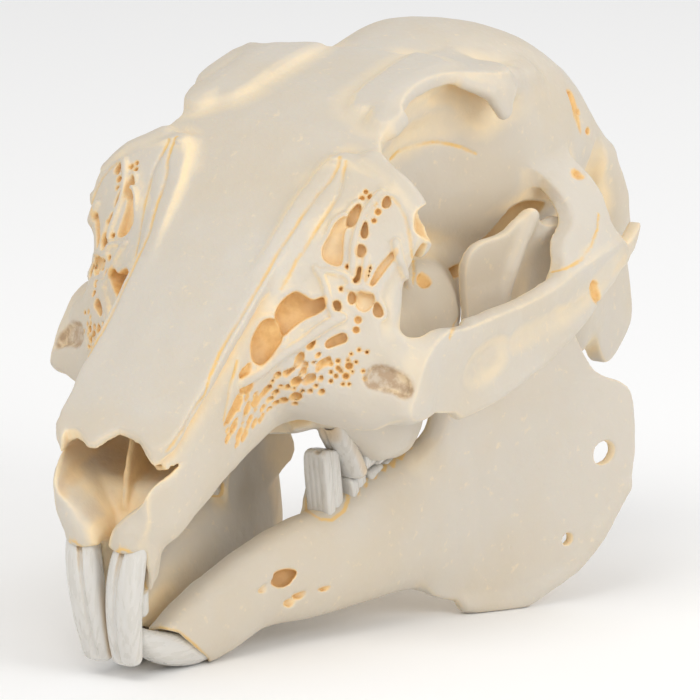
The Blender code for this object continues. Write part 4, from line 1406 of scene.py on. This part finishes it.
def enamel_material(name, stretch):
    """White enamel with streaks along the tooth, brown in its recesses as painted shade."""
    mat, tree, shader = new_material(name)
    place = node(tree, "ShaderNodeTexCoord").outputs["Object"]
    near = attribute(tree, "near_hollow")
    along = node(tree, "ShaderNodeMapping")
    along.inputs["Scale"].default_value = stretch
    tree.links.new(place, along.inputs["Vector"])
    streak = noise(tree, along.outputs["Vector"], 1800.0, 4.0)
    base = blend_colour(tree, ramp(tree, streak, 0.35, 0.7), (0.62, 0.595, 0.545), (0.67, 0.65, 0.615))
    # Painted shade: brown where near_hollow says the tooth is closely enclosed.
    base = blend_colour(tree, ramp(tree, near, 0.3, 0.9, 0.0, 0.7), base, (0.62, 0.44, 0.23))
    tree.links.new(base, shader.inputs["Base Color"])
    tree.links.new(ramp(tree, streak, 0.3, 0.7, 0.22, 0.36), shader.inputs["Roughness"])
    bump = node(tree, "ShaderNodeBump")
    bump.inputs["Strength"].default_value = 0.1
    bump.inputs["Distance"].default_value = 0.0001
    tree.links.new(streak, bump.inputs["Height"])
    tree.links.new(bump.outputs["Normal"], shader.inputs["Normal"])
    shader.inputs["Subsurface Weight"].default_value = 0.15
    shader.inputs["Subsurface Radius"].default_value = (1.0, 0.8, 0.6)
    shader.inputs["Subsurface Scale"].default_value = 0.001
    return mat


# Pieces

bone = bone_material()
enamel = enamel_material("tooth_enamel", (1.0, 1.0, 0.12))
lying_enamel = enamel_material("lying_tooth_enamel", (1.0, 0.12, 1.0))


def keep_in_box(field):
    """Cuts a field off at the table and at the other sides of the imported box."""
    low, high = (np.array(c) / MM for c in cad_box)
    margin = 0.03
    c, s = math.cos(TILT), math.sin(TILT)
    x = field.x[:, None, None]
    y = field.y[None, :, None]
    z = field.z[None, None, :]
    back = c * y - s * z - ORIGIN_Y
    up = s * y + c * z + LIFT
    for over in (x - high[0], low[0] - x, back - high[1], low[1] - back, up - high[2], low[2] - up):
        field.d = np.maximum(field.d, (over + margin).astype(np.float32))


def put(name, field, material, limit, flip=False):
    """Makes the mesh of one node, in place of its solid."""
    points, quads = surface_nets(field)
    if flip:
        points = points * [-1, 1, 1]
        quads = quads[:, ::-1]
    obj = mesh_object(name, points, quads)
    thin_out(obj, limit)
    if flip:
        p = shade_hollows(obj, mirrored_field(field))
    else:
        p = shade_hollows(obj, field)
    obj.data.materials.append(material)
    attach(obj, "root")
    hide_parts(name.replace("_bone", "").replace("_enamel", ""))
    return obj, p


half = cranium(BONE_STEP)
cranium_rooms(half)
seams = cranium_details(half)
roughen(half, 2.2, 0.07, 4)
roughen(half, 0.9, 0.035, 5)
whole = mirror_full(half)
nasal_front(whole)
brow_far(whole)
keep_in_box(whole)
obj, p = put("cranium_bone", whole, bone, BONE_LIMIT)
set_value(obj, "suture", near_lines(p, seams + gum_lines(whole), BONE_SEAM))
set_value(obj, "painted_glow_and_shade", painted_glow_and_streak_share(p, PAINTED_GLOW_AND_BROWN_STREAKS["cranium"]))
set_value(obj, "brown", painted_glow_and_streak_share(p, PAINTED_GLOW_AND_BROWN_STREAKS["brown"]))

jaw = dentary(BONE_STEP)
jaw_seams = dentary_details(jaw)
roughen(jaw, 2.2, 0.06, 6)
roughen(jaw, 0.9, 0.03, 7)
keep_in_box(jaw)
for side, flip in (("left", False), ("right", True)):
    obj, p = put("mandible_" + side + "_bone", jaw, bone, BONE_LIMIT // 2, flip)
    set_value(obj, "suture", near_lines(p, jaw_seams, JAW_SEAM))
    set_value(obj, "painted_glow_and_shade", painted_glow_and_streak_share(p, PAINTED_GLOW_AND_BROWN_STREAKS["jaw"]))

for name, field in tooth_fields(TOOTH_STEP):
    keep_in_box(field)
    for side, flip in (("left", False), ("right", True)):
        material = lying_enamel if name == "lower_incisor" else enamel
        put(name + "_" + side + "_enamel", field, material, TOOTH_LIMIT, flip)


# Stage


def view_matrix():
    """The camera that saw the photograph, from the fitted axes."""
    place = to_world([EYE])[0]
    turn = Matrix.Rotation(TILT, 3, "X")
    axes = Matrix((Vector(RIGHT), -Vector(DOWN), -Vector(AHEAD))).transposed()
    m = (turn @ axes).to_4x4()
    m.translation = Vector(place)
    return m


camera_data = bpy.data.cameras.new("camera")
camera_data.sensor_width = SENSOR
camera_data.lens = FOCAL * SENSOR / (2 * CENTRE)
camera_data.clip_start = 0.01
camera_data.clip_end = 20.0
camera = bpy.data.objects.new("camera", camera_data)
bpy.context.scene.collection.objects.link(camera)
camera.matrix_world = view_matrix()
bpy.context.scene.camera = camera


def area_light(name, place, aim, size, power, colour):
    """A soft round light aimed at a point."""
    data = bpy.data.lights.new(name, "AREA")
    data.shape = "DISK"
    data.size = size
    data.energy = power
    data.color = colour
    obj = bpy.data.objects.new(name, data)
    obj.location = place
    obj.rotation_euler = (Vector(aim) - Vector(place)).to_track_quat("-Z", "Y").to_euler()
    bpy.context.scene.collection.objects.link(obj)


area_light("key", (0.05, -0.62, 0.72), (0, 0, 0.03), 0.6, 2.8, (1.0, 0.985, 0.96))
area_light("fill", (0.75, -0.15, 0.38), (0, 0, 0.03), 0.6, 2.2, (1.0, 0.99, 0.97))
area_light("back", (0.15, 0.7, 0.6), (0, 0, 0.03), 0.45, 0.9, (1.0, 1.0, 1.0))

world = bpy.data.worlds.new("studio")
world.use_nodes = True
world.node_tree.nodes["Background"].inputs["Color"].default_value = (1.0, 1.0, 1.0, 1)
world.node_tree.nodes["Background"].inputs["Strength"].default_value = 0.68
bpy.context.scene.world = world
bpy.context.scene.view_settings.view_transform = "Standard"

floor_mesh = bpy.data.meshes.new("floor")
reach = 3.0
floor_mesh.from_pydata([
    (-reach, -reach, 0), (reach, -reach, 0), (reach, reach, 0), (-reach, reach, 0)
], [], [(0, 1, 2, 3)])
floor = bpy.data.objects.new("floor", floor_mesh)
floor.location.z = -5e-05
bpy.context.scene.collection.objects.link(floor)
paper, paper_tree, paper_shader = new_material("white_paper")
paper_place = node(paper_tree, "ShaderNodeTexCoord").outputs["Object"]
paper_grain = noise(paper_tree, paper_place, 900.0, 2.0)
paper_rough = ramp(paper_tree, paper_grain, 0.3, 0.7, 0.85, 0.95)
paper_tree.links.new(paper_rough, paper_shader.inputs["Roughness"])
paper_shader.inputs["Base Color"].default_value = (0.96, 0.96, 0.96, 1)
floor_mesh.materials.append(paper)
